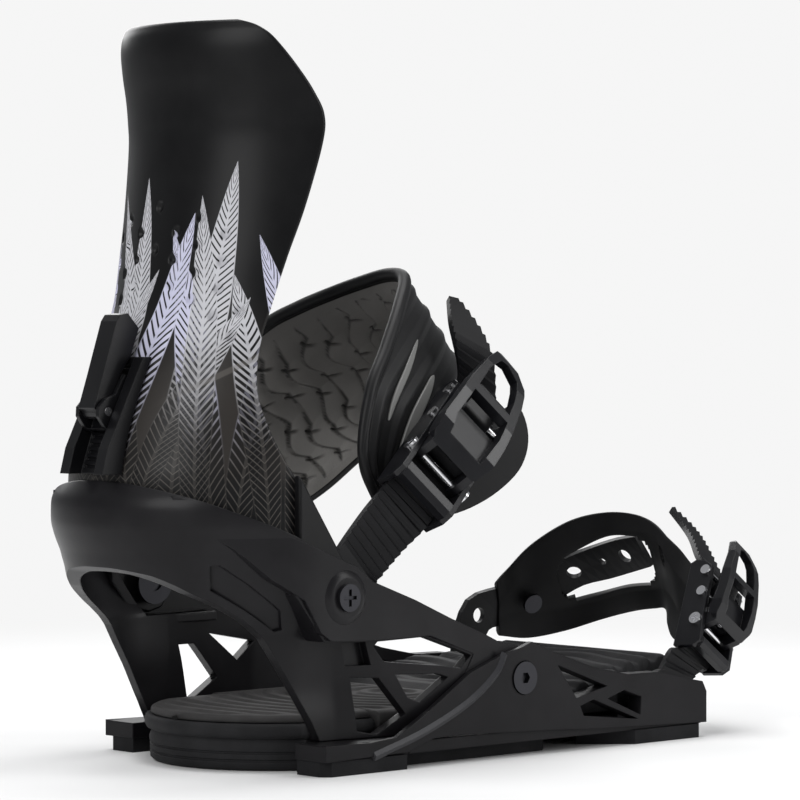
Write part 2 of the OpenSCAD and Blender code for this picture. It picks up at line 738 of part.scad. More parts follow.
module buckle_base(b) {
    hw = b[1];
    difference() {
        union() {
            both(hw, hw + 2, bx(b, [
                [-34, -5.6], [20, -5.6], [22, -3], [21, 2.5], [17, 6.8], [-4, 7.2], [-15, 7.4],
                [-23, 8], [-32, 8.4], [-35, 5]
            ]));
            slab(-hw - e, hw + e, bx(b, [[-34, -5.6], [20, -5.6], [20, -4.4], [-34, -4.4]]));
            // hood over the ladder's entry
            slab(-hw - e, hw + e, bx(b, [
                [-34.5, 4], [-34.5, 7.6], [-32, 9], [-28.5, 9], [-27.3, 7.5], [-27.3, 3.4],
                [-30, 2.4]
            ]));
        }
        pin(b, lever_pin, b[3] + 0.03, hw + 3);
        pin(b, release_pin, b[3] + 0.03, hw + 3);
        pin(b, guide_pin, 1.2 * b[0] + 0.23, hw + 3);
        translate([-8 * b[0], 0, -10]) cylinder(h = 9, r = 2.03);
        translate([-8 * b[0], 0, -4.9 * b[2]]) cylinder(h = 2, r = 4.03);
    }
}

// Rivet or axle across the ears with two round heads
module cross_rivet(b, at, r, head) {
    hw = b[1];
    pin(b, at, r, hw + 2.2);
    for (s = [-1, 1]) bar(at.x * b[0], at.y * b[2], head, min(s * (hw + 2.05), s * (hw + 3.2)),
                          max(s * (hw + 2.05), s * (hw + 3.2)));
}

module lever_axle(b) {
    difference() {
        cross_rivet(b, lever_pin, b[3], 3 * b[2]);
        for (s = [-1, 1], a = [0, 90])
            translate([lever_pin.x * b[0], s * (b[1] + 3.2), lever_pin.y * b[2]])
                rotate([0, a, 0]) cube([4 * b[2], 1.2, 0.8], center = true);
    }
}

lever_plan = [
    [-20, 8], [-14, 12.5], [-6, 14], [14, 13.9], [27, 12.4], [34.5, 10.2], [37.6, 7.4],
    [37.2, 3.4], [34.4, -1.4], [29.2, -6.6], [20, -9.6], [11, -11.2], [0, -12.8],
    [-10, -13.2], [-16, -11.6], [-20, -8]
];
lever_window = [
    [14, 9.6], [24, 9.6], [32, 7], [33, 3.6], [29.5, -2.4], [20.5, -5.6], [14, -6.6]
];
lever_dish = [
    [-11, 7.5], [-3, 10], [10.5, 10], [10.5, -7.6], [2, -9], [-11, -8.6]
];

module buckle_lever(b) {
    hw = b[1];
    wy = hw / 11.3;
    difference() {
        union() {
            // cheeks inside the base's ears
            both(hw - 3.3, hw - gap, bx(b, [
                [-20.8, 5.8], [-17.5, 12.6], [-8, 15.6], [-2, 12.6], [-6.5, 7.6], [-8.6, 5],
                [-13.5, 1.2], [-17.6, 0.7], [-20.4, 2.2]
            ]));
            // open handle over the ladder
            intersection() {
                slab(-20, 20, bx(b, [
                    [-17.5, 12.6], [-8, 16.6], [8, 18], [26, 17.6], [34.5, 15], [38.5, 11.6],
                    [36.5, 10.6], [26, 13.2], [4, 12.9], [-6, 11.2], [-12, 9.4]
                ]));
                linear_extrude(40) difference() {
                    polygon([for (p = lever_plan) [p.x * b[0], p.y * wy]]);
                    polygon([for (p = lever_window) [p.x * b[0], p.y * wy]]);
                }
            }
        }
        // dish in the lower half of the handle
        translate([0, 0, 12.8 * b[2]]) linear_extrude(9) polygon(
            [for (p = lever_dish) [p.x * b[0], p.y * wy]]);
        pin(b, lever_pin, b[3] + fit, hw + 3);
        pin(b, drive_pin, 1.1 + 0.03, hw + 3);
    }
}

module drive_pawl(b) {
    difference() {
        union() {
            pin(b, drive_pin, 2.2 * b[2], b[1] - 3.7);
            slab(3.7 - b[1], b[1] - 3.7, bx(b, [
                [-12.4, 7.8], [-8.2, 6.2], [-11.4, -0.1], [-13.2, -0.4], [-13.9, 3.6]
            ]));
        }
        pin(b, drive_pin, 1.1 + fit, b[1]);
        pin(b, drive_pin, 2.5, 1.7);
    }
}

module drive_pin_part(b) { pin(b, drive_pin, 1.1, b[1] - gap - 0.1); }

module release_lever(b) {
    difference() {
        union() {
            pin(b, release_pin, 2.9 * b[2], 6.2);
            slab(-6.2, 6.2, bx(b, [
                [-2, 6.2], [2, 7.3], [12, 8.4], [22, 10], [23, 8.6], [12, 6.5], [7.6, 4.4],
                [6.8, -0.4], [5.6, -0.4], [1, 1.5]
            ]));
        }
        pin(b, release_pin, b[3] + fit, 9);
        pin(b, release_pin, 2.9, 1.7);
    }
}

// Coil spring round a pin: closed turns side by side
module coil(b, at, r_in) {
    wire = 0.4;
    for (k = [-1:1]) translate([at.x * b[0], k * (2 * wire + 0.06), at.y * b[2]])
        rotate([90, 0, 0]) rotate_extrude($fn = 32) translate([r_in + wire, 0])
            circle(r = wire, $fn = 16);
}

// Rivet that holds the buckle to the pad
module buckle_rivet(b, depth) {
    translate([-8 * b[0], 0, -4.9 * b[2]]) {
        cylinder(h = 0.6 * b[2], r = 4);
        translate([0, 0, -depth]) cylinder(h = depth + e, r = 2);
    }
}

module ankle() { in_frame(ankle_o, ankle_u, ankle_n) children(); }
module toe() { in_frame(toe_o, toe_u, toe_n) children(); }

module ankle_buckle_base() { color(black) ankle() buckle_base(ankle_b); }
module ankle_lever_axle() { color(steel) ankle() lever_axle(ankle_b); }
module ankle_release_rivet() { color(steel) ankle() cross_rivet(ankle_b, release_pin, 1.5, 2.2); }
module ankle_guide_rivet() { color(steel) ankle() cross_rivet(ankle_b, guide_pin, 1.2, 2.4); }
module ankle_lever() { color(black) ankle() buckle_lever(ankle_b); }
module ankle_drive_pin() { color(steel) ankle() drive_pin_part(ankle_b); }
module ankle_drive_pawl() { color(dark) ankle() drive_pawl(ankle_b); }
module ankle_drive_spring() { color(steel) ankle() coil(ankle_b, drive_pin, 1.2); }
module ankle_release_lever() { color(dark) ankle() release_lever(ankle_b); }
module ankle_release_spring() { color(steel) ankle() coil(ankle_b, release_pin, 1.6); }
module ankle_buckle_rivet() { color(steel) ankle() buckle_rivet(ankle_b, 7.6); }

// ---- toe strap ---------------------------------------------------------------------------

// Four rails over the toe, from the far side to the buckle side, rear edge to front edge
cap_rails = [
    [[92, 48, 54], [96, 45, 60], [101, 36, 70], [107, 22, 79], [113, 8, 83], [116, -5, 82.8],
     [116.4, -15, 79.8], [115.5, -24, 74.5], [114.5, -32.5, 69.5], [115.5, -39, 63.1]],
    [[95, 50, 46], [100, 46, 52], [107, 41, 58], [114.5, 25, 69], [115.8, 9, 75.3],
     [117.2, -5, 75.5], [116.5, -15, 74.5], [113.8, -24, 67.6], [111.7, -33, 60.2],
     [112.2, -40, 55]],
    [[96, 51, 40], [107, 48, 42], [121, 43, 42], [132, 32, 45.5], [132, 14, 50],
     [128.9, -5, 52.4], [124.5, -14, 53.1], [117.4, -25, 50.1], [110.7, -35, 45.4],
     [108.8, -41, 42]],
    [[97, 51.5, 32], [111, 49, 30.5], [125, 42, 33], [135, 30, 38], [134, 14, 41.8],
     [128.2, -4, 44.6], [125.1, -14, 45.1], [112.4, -27, 40.9], [104.8, -36, 37.2],
     [102, -42, 35]]
];

cap_lines = [for (r = cap_rails) smooth(r, 3)];

// Opening over the toes, a little inside the two middle rails
function cap_window(from, to) = [
    for (t = [0.05, 0.35, 0.65, 0.95])
        [for (i = [from:to]) cap_lines[1][i] * (1 - t) + cap_lines[2][i] * t]
];

// Where the connector is screwed to the cap, and the way out of the cap there
cap_screw = [108, 46.1, 46.3];
cap_out = [0.23, 0.92, 0.33];
module at_cap_screw() {
    along(cap_screw, cap_out) children();
}

module toe_cap() {
    color(black) difference() {
        skin(cap_lines, 0, 2.6);
        between(raised(cap_window(7, 18), -8), raised(cap_window(7, 18), 5));
        at_cap_screw() cylinder(h = 16, r = 2.1, center = true);
        toe() translate([-8 * toe_b[0], 0, -14]) cylinder(h = 14, r = 2.15);
    }
}

toe_connector_path = [
    [81, 53.2, 17], [80.5, 53.2, 29], [85.7, 53.2, 41], [98, 51.8, 44.3], [108.4, 48, 47],
    [116.2, 41.8, 52.7], [121.4, 33.2, 58.4], [125, 21.2, 62.3], [124.6, 7, 66], [123.4, -4.3, 68.2]
];

module toe_connector() {
    color(black) difference() {
        union() {
            skin(strap_grid(toe_connector_path, [8, 8.5, 8.5, 8.3, 8, 8, 8, 8, 7.8, 7], [
                [-1, 0, 0], [-0.98, 0, 0.19], [-0.66, 0, 0.75], [-0.29, -0.19, 0.94],
                [-0.49, -0.18, 0.85], [-0.7, -0.06, 0.71], [-0.73, 0.01, 0.69],
                [-0.61, 0.15, 0.78], [-0.54, 0.23, 0.81], [-0.45, 0.23, 0.87]
            ], 3), -1.2, 1.2);
            bar(toe_x, toe_z, 10, toe_eye_in, toe_eye_out);
        }
        bar(toe_x, toe_z, shank_r + fit, 40, 60);
        at_cap_screw() cylinder(h = 16, r = 2.1, center = true);
        // adjusting holes along the strap: place, way through, radius
        for (k = [[[85.7, 53, 41], [0, 1, 0], 3], [[121.4, 33.2, 58.4], [0.58, 0.55, 0.6], 3],
                  [[124.6, 7, 66], [0.84, 0.15, 0.52], 3], [[115.2, 32, 67], [0.6, 0.5, 0.6], 1.8],
                  [[116.6, 40.2, 55.4], [0.48, 0.7, 0.53], 1.6],
                  [[125, 19.8, 63.4], [0.77, 0.26, 0.58], 1.6]])
            along(k[0], k[1]) cylinder(h = 9, r = k[2], center = true);
    }
}

module toe_connector_screw() {
    color(steel) at_cap_screw() {
        translate([0, 0, -4.4]) cylinder(h = 1.4, r = 4);
        translate([0, 0, -3.1]) cylinder(h = 8.4, r = 2);
    }
}

module toe_connector_nut() {
    color(steel) at_cap_screw() difference() {
        translate([0, 0, 3.9]) cylinder(h = 1.4, r = 4.2);
        cylinder(h = 9, r = 2.03);
    }
}

module toe_ladder() {
    color(black) difference() {
        union() {
            ladder(
                [[81, -53.2, 17], [88.5, -53.2, 23.2], [95.4, -52.6, 29.2],
                 place(toe_o, toe_u, toe_n, -22, -2), place(toe_o, toe_u, toe_n, -7, -2),
                 place(toe_o, toe_u, toe_n, 8, -2), place(toe_o, toe_u, toe_n, 16, -2),
                 [124.9, -37, 64.5], [132.5, -25, 72], [138.5, -14, 77.3], [140.9, -3, 83.9]],
                [8, 8.8, toe_ladder_half, toe_ladder_half, toe_ladder_half, toe_ladder_half,
                 toe_ladder_half - 0.6, 8.4, 6.8, 4.6, 1.6],
                [[-0.95, 0, 0.3], [-0.95, 0, 0.3], [-0.85, 0, 0.5], toe_v, toe_v, toe_v,
                 toe_v, [-0.85, -0.2, 0.35], [-0.85, -0.3, 0.2], [-0.85, -0.3, 0.1],
                 [-0.85, -0.3, 0]],
                strap_t - 0.4, 10);
            bar(toe_x, toe_z, 9.5, -toe_eye_out, -toe_eye_in);
        }
        bar(toe_x, toe_z, shank_r + fit, -60, -40);
    }
}

module toe_buckle_base() { color(black) toe() buckle_base(toe_b); }
module toe_lever_axle() { color(steel) toe() lever_axle(toe_b); }
module toe_release_rivet() { color(steel) toe() cross_rivet(toe_b, release_pin, 1.3, 2); }
module toe_guide_rivet() { color(steel) toe() cross_rivet(toe_b, guide_pin, 1, 2); }
module toe_lever() { color(black) toe() buckle_lever(toe_b); }
module toe_drive_pin() { color(steel) toe() drive_pin_part(toe_b); }
module toe_drive_pawl() { color(dark) toe() drive_pawl(toe_b); }
module toe_drive_spring() { color(steel) toe() coil(toe_b, drive_pin, 1.2); }
module toe_release_lever() { color(dark) toe() release_lever(toe_b); }
module toe_release_spring() { color(steel) toe() coil(toe_b, release_pin, 1.4); }
module toe_buckle_rivet() { color(steel) toe() buckle_rivet(toe_b, 6.4); }

// ---- drawing -----------------------------------------------------------------------------

baseplate();
rear_board_pads();
front_board_pads();
mid_cushions();
heel_cushion();
heel_footbed();
toe_ramp();
mounting_disc();
heel_hoop();
hoop_screws();
hoop_nuts();
pivot_screws();
pivot_nuts();
toe_strap_screws();
highback();
lean_guide();
lean_block();
lean_lever_pin();
lean_lever();
ankle_connector();
ankle_connector_screw();
ankle_connector_nut();
ankle_pad_frame();
ankle_pad_liner();
ankle_pad_wing();
ankle_ladder();
ankle_buckle_base();
ankle_lever_axle();
ankle_release_rivet();
ankle_guide_rivet();
ankle_lever();
ankle_drive_pin();
ankle_drive_pawl();
ankle_drive_spring();
ankle_release_lever();
ankle_release_spring();
ankle_buckle_rivet();
toe_connector();
toe_connector_screw();
toe_connector_nut();
toe_cap();
toe_ladder();
toe_buckle_base();
toe_lever_axle();
toe_release_rivet();
toe_guide_rivet();
toe_lever();
toe_drive_pin();
toe_drive_pawl();
toe_drive_spring();
toe_release_lever();
toe_release_spring();
toe_buckle_rivet();
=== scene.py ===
# %% [markdown]
# # A snowboard strap binding
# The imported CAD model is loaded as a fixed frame. Everything below either gives one of its
# solids a better finish, or models a finer piece over the solid that stands for it. All
# lengths are in metres, +X points to the toe, +Y to the side without buckles, +Z up.

# %% Load the frame
import json
import math
import bmesh
import bpy
import numpy as np
from mathutils import Matrix, Vector
from mathutils.bvhtree import BVHTree


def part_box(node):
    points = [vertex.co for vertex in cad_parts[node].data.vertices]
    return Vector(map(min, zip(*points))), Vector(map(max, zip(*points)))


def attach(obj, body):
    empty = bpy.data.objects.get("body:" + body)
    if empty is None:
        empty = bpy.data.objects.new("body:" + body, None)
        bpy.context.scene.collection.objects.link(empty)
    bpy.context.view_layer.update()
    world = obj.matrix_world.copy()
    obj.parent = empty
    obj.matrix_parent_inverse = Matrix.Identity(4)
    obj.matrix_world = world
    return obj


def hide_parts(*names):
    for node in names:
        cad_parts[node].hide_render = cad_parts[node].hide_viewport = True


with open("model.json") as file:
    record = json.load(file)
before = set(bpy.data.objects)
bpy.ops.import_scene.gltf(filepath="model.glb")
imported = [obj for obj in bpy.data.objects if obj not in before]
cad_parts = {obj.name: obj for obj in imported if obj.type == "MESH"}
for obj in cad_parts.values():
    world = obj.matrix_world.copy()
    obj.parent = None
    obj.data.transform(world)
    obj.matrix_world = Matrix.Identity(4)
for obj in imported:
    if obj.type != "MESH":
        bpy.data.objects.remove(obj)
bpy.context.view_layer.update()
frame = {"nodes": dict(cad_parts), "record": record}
NODES = frame["nodes"]
MM = 0.001

# %% [markdown]
# The camera stands behind and beside the heel, almost level with the straps. A long lens
# keeps the parallel edges nearly parallel, as in the photograph.

# %% Camera
PHOTO_SIDE = 800
CAM_TURN = 42.8
CAM_RISE = 1.1
CAM_AIM = Vector((-6, 0, 130)) * MM
CAM_DISTANCE = 1.4
CAM_LENS = 167.0
CAM_SENSOR = 36.0

turn, rise = math.radians(CAM_TURN), math.radians(CAM_RISE)
cam_back = Vector((-math.sin(turn) * math.cos(rise), -math.cos(turn) * math.cos(rise), math.sin(rise)))
cam_right = Vector((math.cos(turn), -math.sin(turn), 0))
cam_up = cam_back.cross(cam_right)
camera_data = bpy.data.cameras.new("camera")
camera_data.lens = CAM_LENS
camera_data.sensor_width = CAM_SENSOR
camera_data.sensor_fit = "AUTO"
camera_data.clip_end = 20
camera = bpy.data.objects.new("camera", camera_data)
camera.matrix_world = Matrix.Translation(CAM_AIM + cam_back * CAM_DISTANCE) @ Matrix((
    (cam_right.x, cam_up.x, cam_back.x, 0), (cam_right.y, cam_up.y, cam_back.y, 0),
    (cam_right.z, cam_up.z, cam_back.z, 0), (0, 0, 0, 1)))
bpy.context.scene.collection.objects.link(camera)
bpy.context.scene.camera = camera
print("camera at", [round(c, 3) for c in camera.matrix_world.translation])

# %% [markdown]
# The numbers below are the only ones read off the photograph. They say where the edges of
# the binding and a few of its fittings show. They settled the camera.

# %% Image points
POINTS = {
    "left edge": (51, None), "right edge": (759, None),
    "top edge": (None, 20), "bottom edge": (None, 777),
    "near pivot screw": (349.6, 599), "near hoop screw": (522, 676),
    "far pivot nut": (152, 585.5), "ankle ladder tip": (452, 298),
    "toe ladder tip": (672, 508), "lean lever top": (116, 314),
    "ankle lever rivet": (410, 442), "toe lever rivet": (692, 618),
    "ridge foot": (373, 755), "ridge head": (505, 661),
}
print(len(POINTS), "image points")

# %% [markdown]
# A material here is maths on positions. Writing it as node-by-node code hides the idea, so
# one small class wraps a socket and lets an expression such as `1 - mask * 0.5` add its own
# Math nodes. Every other node comes from `Finish.node`.

# %% Shader maths as expressions
def operator(kind, swapped=False):
    """A method that adds one Math node of this kind."""
    def add_node(self, *others):
        values = (*others, self) if swapped else (self, *others)
        return self.finish.node("ShaderNodeMath", {"operation": kind}, values)
    return add_node


class Sock:
    """One output of a shader node, with the operators that the finishes below use."""

    def __init__(self, finish, link):
        self.finish, self.link = finish, link

    __add__ = operator("ADD")
    __radd__ = operator("ADD", swapped=True)
    __sub__ = operator("SUBTRACT")
    __rsub__ = operator("SUBTRACT", swapped=True)
    __mul__ = operator("MULTIPLY")
    __rmul__ = operator("MULTIPLY", swapped=True)
    __truediv__ = operator("DIVIDE")
    __rtruediv__ = operator("DIVIDE", swapped=True)
    abs = operator("ABSOLUTE")
    fract = operator("FRACT")
    root = operator("SQRT")
    most = operator("MAXIMUM")

    def ramp(self, low, high, a=0.0, b=1.0):
        """Goes smoothly from a to b while this value goes from low to high."""
        settings = {"interpolation_type": "SMOOTHSTEP", "clamp": True}
        return self.finish.node("ShaderNodeMapRange", settings, (self, low, high, a, b))


class Finish:
    """A Principled material and the few nodes that most finishes need."""

    def __init__(self, name, color, rough=0.5, **fixed):
        self.material = bpy.data.materials.new(name)
        self.material.use_nodes = True
        self.material.diffuse_color = (*color, 1)
        self.tree = self.material.node_tree
        self.shader = self.tree.nodes["Principled BSDF"]
        self.put("Base Color", color)
        self.put("Roughness", rough)
        for socket, value in fixed.items():
            self.put(socket.replace("_", " "), value)

    def put(self, socket, value):
        """Fills or links one socket of the Principled shader."""
        target = self.shader.inputs[socket]
        if isinstance(value, Sock):
            self.tree.links.new(value.link, target)
        else:
            target.default_value = (*value, 1.0) if isinstance(value, tuple) else value

    def node(self, kind, settings=None, values=(), output=0):
        """Any other node: first its settings, then the values or links of its sockets."""
        made = self.tree.nodes.new(kind)
        for key, value in (settings or {}).items():
            setattr(made, key, value)
        for key, value in values.items() if isinstance(values, dict) else enumerate(values):
            socket = made.inputs[key]
            if isinstance(value, Sock):
                self.tree.links.new(value.link, socket)
            else:
                socket.default_value = (*value, 1) if socket.type == "RGBA" else value
        return Sock(self, made.outputs[output])

    def place(self):
        return self.node("ShaderNodeTexCoord", output="Object")

    def xyz(self):
        split = self.node("ShaderNodeSeparateXYZ", values=(self.place(),)).link.node
        return [Sock(self, out) for out in split.outputs]

    def noise(self, size_mm, detail=3.0, stretch=(1, 1, 1)):
        """Grey noise whose blobs are about size_mm across."""
        scale = tuple(s * 1000.0 / size_mm for s in stretch)
        spot = self.node("ShaderNodeVectorMath", {"operation": "MULTIPLY"}, (self.place(), scale))
        return self.node("ShaderNodeTexNoise", values={"Vector": spot, "Scale": 1.0, "Detail": detail})

    def mix(self, mask, a, b):
        """Colour a where mask is 0, b where it is 1."""
        return self.node("ShaderNodeMix", {"data_type": "RGBA", "clamp_factor": True},
                         {0: mask, 6: a, 7: b}, output=2)

    def bump(self, height, depth_mm, strength=1.0, edge_mm=0.0):
        """Fine relief; edge_mm also rounds the solid's sharp edges where light meets them."""
        values = {"Strength": strength, "Distance": depth_mm * MM, "Height": height}
        if edge_mm:
            values["Normal"] = self.node("ShaderNodeBevel", {"samples": 4}, {"Radius": edge_mm * MM})
        self.put("Normal", self.node("ShaderNodeBump", values=values))


print("shader helpers ready")

# %% [markdown]
# The binding is nearly all black, so it is the gloss that tells the pieces apart: the
# glass-filled nylon of the base and hoop is satin with a faint grain, the shell is smoother,
# the rubber toe cap and foam pads are dull, and the rivets are bright.

# %% Moulded plastics
def moulded(name, color, rough, grain_mm=0.5, grain_depth=0.03, coat=0.0, edge_mm=0.7):
    """Satin plastic: fine grain in the surface, and slow changes in gloss from handling."""
    m = Finish(name, color, rough, Coat_Weight=coat, Coat_Roughness=0.22, Specular_IOR_Level=0.16)
    grain = m.noise(grain_mm, 2.0)
    smudge = m.noise(28.0, 4.0)
    m.put("Roughness", (rough - 0.06) + smudge * 0.14 + grain * 0.04)
    light = tuple(c * 1.25 + 0.004 for c in color)
    m.put("Base Color", m.mix(smudge.ramp(0.35, 0.7), color, light))
    m.bump(grain, grain_depth, 0.6, edge_mm)
    return m.material


base_nylon = moulded("base_nylon", (0.0052, 0.0048, 0.0058), 0.42, 0.45, 0.04)
hoop_nylon = moulded("hoop_nylon", (0.0046, 0.0042, 0.0052), 0.36, 0.4, 0.03, coat=0.1)
strap_nylon = moulded("strap_nylon", (0.0060, 0.0060, 0.0068), 0.40, 0.9, 0.02, edge_mm=0)
lever_nylon = moulded("lever_nylon", (0.0042, 0.0042, 0.0050), 0.33, 0.5, 0.02, coat=0.2)
buckle_black = moulded("buckle_black", (0.0045, 0.0045, 0.0058), 0.27, 0.4, 0.015, coat=0.35)
rubber_black = moulded("rubber_black", (0.0075, 0.0075, 0.008), 0.55, 0.35, 0.05)
print("plastics", [m.name for m in bpy.data.materials])

# %% Bright steel, and black steel screws
def metal(name, color, rough, scratch=0.25):
    m = Finish(name, color, rough, Metallic=1.0)
    lines = m.noise(0.3, 2.0, stretch=(1, 6, 1))
    m.put("Roughness", rough + lines * 0.16 + m.noise(4.0) * 0.08)
    m.bump(lines, 0.01, scratch)
    return m.material


bright_steel = metal("bright_steel", (0.80, 0.80, 0.82), 0.10)
black_steel = metal("black_steel", (0.045, 0.045, 0.05), 0.30)
print("metals ready")

# %% Foam of the board pads and footbeds
def foam(name, color, rough, pore_mm, depth):
    m = Finish(name, color, rough, Specular_IOR_Level=0.15)
    pores = m.noise(pore_mm, 5.0)
    cloud = m.noise(14.0, 3.0)
    m.put("Base Color", m.mix(cloud.ramp(0.3, 0.7), color, tuple(c * 1.35 + 0.003 for c in color)))
    m.put("Roughness", rough + 0.12 * pores)
    m.bump(pores, depth, 0.7)
    return m.material


board_foam = foam("board_foam", (0.008, 0.008, 0.009), 0.62, 0.8, 0.08)
cushion_foam = foam("cushion_foam", (0.013, 0.013, 0.014), 0.66, 0.9, 0.10)
footbed_foam = foam("footbed_foam", (0.034, 0.033, 0.033), 0.70, 0.9, 0.12)
print("foams ready")

# %% [markdown]
# Most pieces are curved sheets with a thickness: the shell, the ankle pad, the toe cap. Each
# is written down as a few lines of points, as a pattern maker would draw them, and filled
# in with smooth curves, so a shape is changed by moving one point.

# %% Smooth curves through a few points
def curve(points, count, closed=False):
    """Catmull-Rom through the points, resampled to count evenly spaced points."""
    p = np.asarray(points, float)
    ends = (p[-1], p[0], p[1]) if closed else (2 * p[0] - p[1], 2 * p[-1] - p[-2], None)
    q = np.vstack([ends[0], p, ends[1], ends[2]]) if closed else np.vstack([ends[0], p, ends[1]])
    fine = []
    for a, b, c, d in zip(q[:-3], q[1:-2], q[2:-1], q[3:]):
        t = np.linspace(0, 1, 16, endpoint=False)[:, None]
        fine.append(0.5 * (2 * b + (c - a) * t + (2 * a - 5 * b + 4 * c - d) * t ** 2
                           + (3 * b - a - 3 * c + d) * t ** 3))
    fine = np.vstack(fine + [q[-2][None] if not closed else p[:1]])
    run = np.concatenate([[0], np.cumsum(np.linalg.norm(np.diff(fine, axis=0), axis=1))])
    want = np.linspace(0, run[-1], count, endpoint=not closed)
    return np.stack([np.interp(want, run, fine[:, k]) for k in range(fine.shape[1])], axis=1)


def normals(grid):
    """Unit normals of a grid of points."""
    n = np.cross(np.gradient(grid, axis=0), np.gradient(grid, axis=1))
    return n / np.linalg.norm(n, axis=2, keepdims=True)


print("curve helpers ready")

# %% [markdown]
# Every piece is closed, as a real part is. Its points are numbered row by row, so one helper
# can join neighbours into faces, and another can give a sheet its thickness and its rim.

# %% From points to Blender objects
def quads(rows, cols, round_rows=False, round_cols=False):
    """Faces between the neighbours of a grid, which may close on itself either way."""
    at = np.arange(rows * cols).reshape(rows, cols)
    at = np.vstack([at, at[:1]]) if round_rows else at
    at = np.hstack([at, at[:, :1]]) if round_cols else at
    corners = (at[:-1, :-1], at[1:, :-1], at[1:, 1:], at[:-1, 1:])
    return np.stack(corners, axis=-1).reshape(-1, 4).tolist()


def make(name, verts, faces, finish, smooth=True):
    """A mesh object from points in millimetres, with no loose points and its faces outward."""
    mesh = bpy.data.meshes.new(name)
    mesh.from_pydata([tuple(v) for v in np.asarray(verts, float) * MM], [], faces)
    mesh.validate()
    work = bmesh.new()
    work.from_mesh(mesh)
    bmesh.ops.delete(work, geom=[p for p in work.verts if not p.link_faces], context="VERTS")
    bmesh.ops.recalc_face_normals(work, faces=work.faces)
    work.to_mesh(mesh)
    work.free()
    mesh.materials.append(finish)
    made = bpy.data.objects.new(name, mesh)
    bpy.context.scene.collection.objects.link(made)
    if smooth:
        mesh.shade_smooth()
    print(f"{name}: {len(mesh.vertices)} points, {len(mesh.polygons)} faces")
    return made


def shell_between(name, outer, inner, finish, keep=None):
    """Closed solid between two grids of points; keep, if given, leaves out some cells."""
    rows, cols = outer.shape[:2]
    half = rows * cols
    skin = quads(rows, cols)
    if keep is not None:
        skin = [face for face, kept in zip(skin, keep.ravel()) if kept]
    sides = {(a, b) for face in skin for a, b in zip(face, face[1:] + face[:1])}
    faces = skin + [[half + k for k in reversed(face)] for face in skin]
    faces += [(b, a, half + a, half + b) for a, b in sorted(sides) if (b, a) not in sides]
    return make(name, np.vstack([outer.reshape(-1, 3), inner.reshape(-1, 3)]), faces, finish)


def round_edges(obj, width_mm, angle=35):
    """Small rounds on sharp edges, which is what catches the light on black plastic."""
    bevel = obj.modifiers.new("edge rounds", "BEVEL")
    bevel.width, bevel.segments = width_mm * MM, 2
    bevel.limit_method, bevel.angle_limit = "ANGLE", math.radians(angle)
    return obj


def tube(name, path, radius, finish, closed=False, taper=0.0, sides=14):
    """A round cord of rubber along a path of points; taper thins its two ends."""
    n = len(path)
    step = np.roll(path, -1, 0) - np.roll(path, 1, 0) if closed else np.gradient(path, axis=0)
    step /= np.linalg.norm(step, axis=1, keepdims=True)
    turned = np.linspace(0, 2 * math.pi, sides, endpoint=False)[:, None]
    side = np.cross(step[0], (0.3, 0.2, 0.9))
    rings = []
    for k in range(n):
        side = side - step[k] * side.dot(step[k])
        side /= np.linalg.norm(side)
        up = np.cross(step[k], side)
        thin = 1 - taper * abs(2 * k / (n - 1) - 1) ** 4
        rings.append(path[k] + radius * thin * (np.cos(turned) * side + np.sin(turned) * up))
    faces = quads(n, sides, round_rows=closed, round_cols=True)
    if not closed:
        faces += [list(range(sides)), list(range((n - 1) * sides, n * sides))]
    return make(name, np.vstack(rings), faces, finish)


def plate(name, outline, low, high, finish, axes="xz", edge=0.5):
    """A flat outline given thickness between low and high on the remaining axis."""
    flat = np.asarray(outline, float)
    n = len(flat)
    thick_axis = {"xz": 1, "xy": 2}[axes]
    verts = np.vstack([np.insert(flat, thick_axis, level, axis=1) for level in (low, high)])
    faces = quads(2, n, round_cols=True) + [list(range(n)), list(range(n, 2 * n))]
    made = make(name, verts, faces, finish, smooth=False)
    return round_edges(made, edge) if edge else made


print("piece helpers ready")

# %% [markdown]
# The shell behind the calf is one moulded panel: round in plan at the hoop, narrow at the
# waist and wide at the top. It is drawn as rows, one for each height, with the place of its
# back, the radius of its curve and how far it reaches round. A fine grid lets the small
# moulded dimples be real dents rather than paint.

# %% The shell's rows
SHELL_GRID = (300, 240)
# height, place of the back, radius in plan, half of the angle that it reaches round
SHELL_ROWS = [
    (76, -149.5, 51.3, 93), (90, -150, 51.4, 93), (104, -150, 51.4, 86),
    (112, -148.6, 51.2, 79), (122, -146.3, 51.2, 70.5), (135, -141.4, 51.8, 60.5),
    (150, -135, 53, 54.6), (165, -128.8, 54, 53.2), (182, -125.4, 55.5, 55),
    (200, -122.5, 57, 58), (222, -120.3, 58, 61.6), (232, -120.5, 58.5, 61.9),
    (240, -121.2, 59, 58.4), (248, -122.4, 59.8, 53.4), (256, -123.2, 60.3, 47.6),
    (261, -122.8, 60.4, 42.8), (264, -121.6, 60.2, 37.5), (266, -120.4, 60, 30),
]
SHELL_THICK = 3.4
# middle of the calf in X and the shell's mean radius, from which the print is laid out
SHELL_AXIS, SHELL_RADIUS = -66.0, 55.0


def shell_surface(rows, cols):
    """The outer face, each point's way round from the middle, and its way to the side edge."""
    line = curve(SHELL_ROWS, rows)
    height, back, radius, reach = (line[:, k:k + 1] for k in range(4))
    turned = np.radians(reach) * np.linspace(-1, 1, cols)[None]
    x = back + radius - radius * np.cos(turned)
    points = np.stack([x, radius * np.sin(turned), np.repeat(height, cols, 1)], axis=2)
    around = radius * turned
    return points, around, radius * np.radians(reach) - np.abs(around)


print("shell rows", len(SHELL_ROWS))

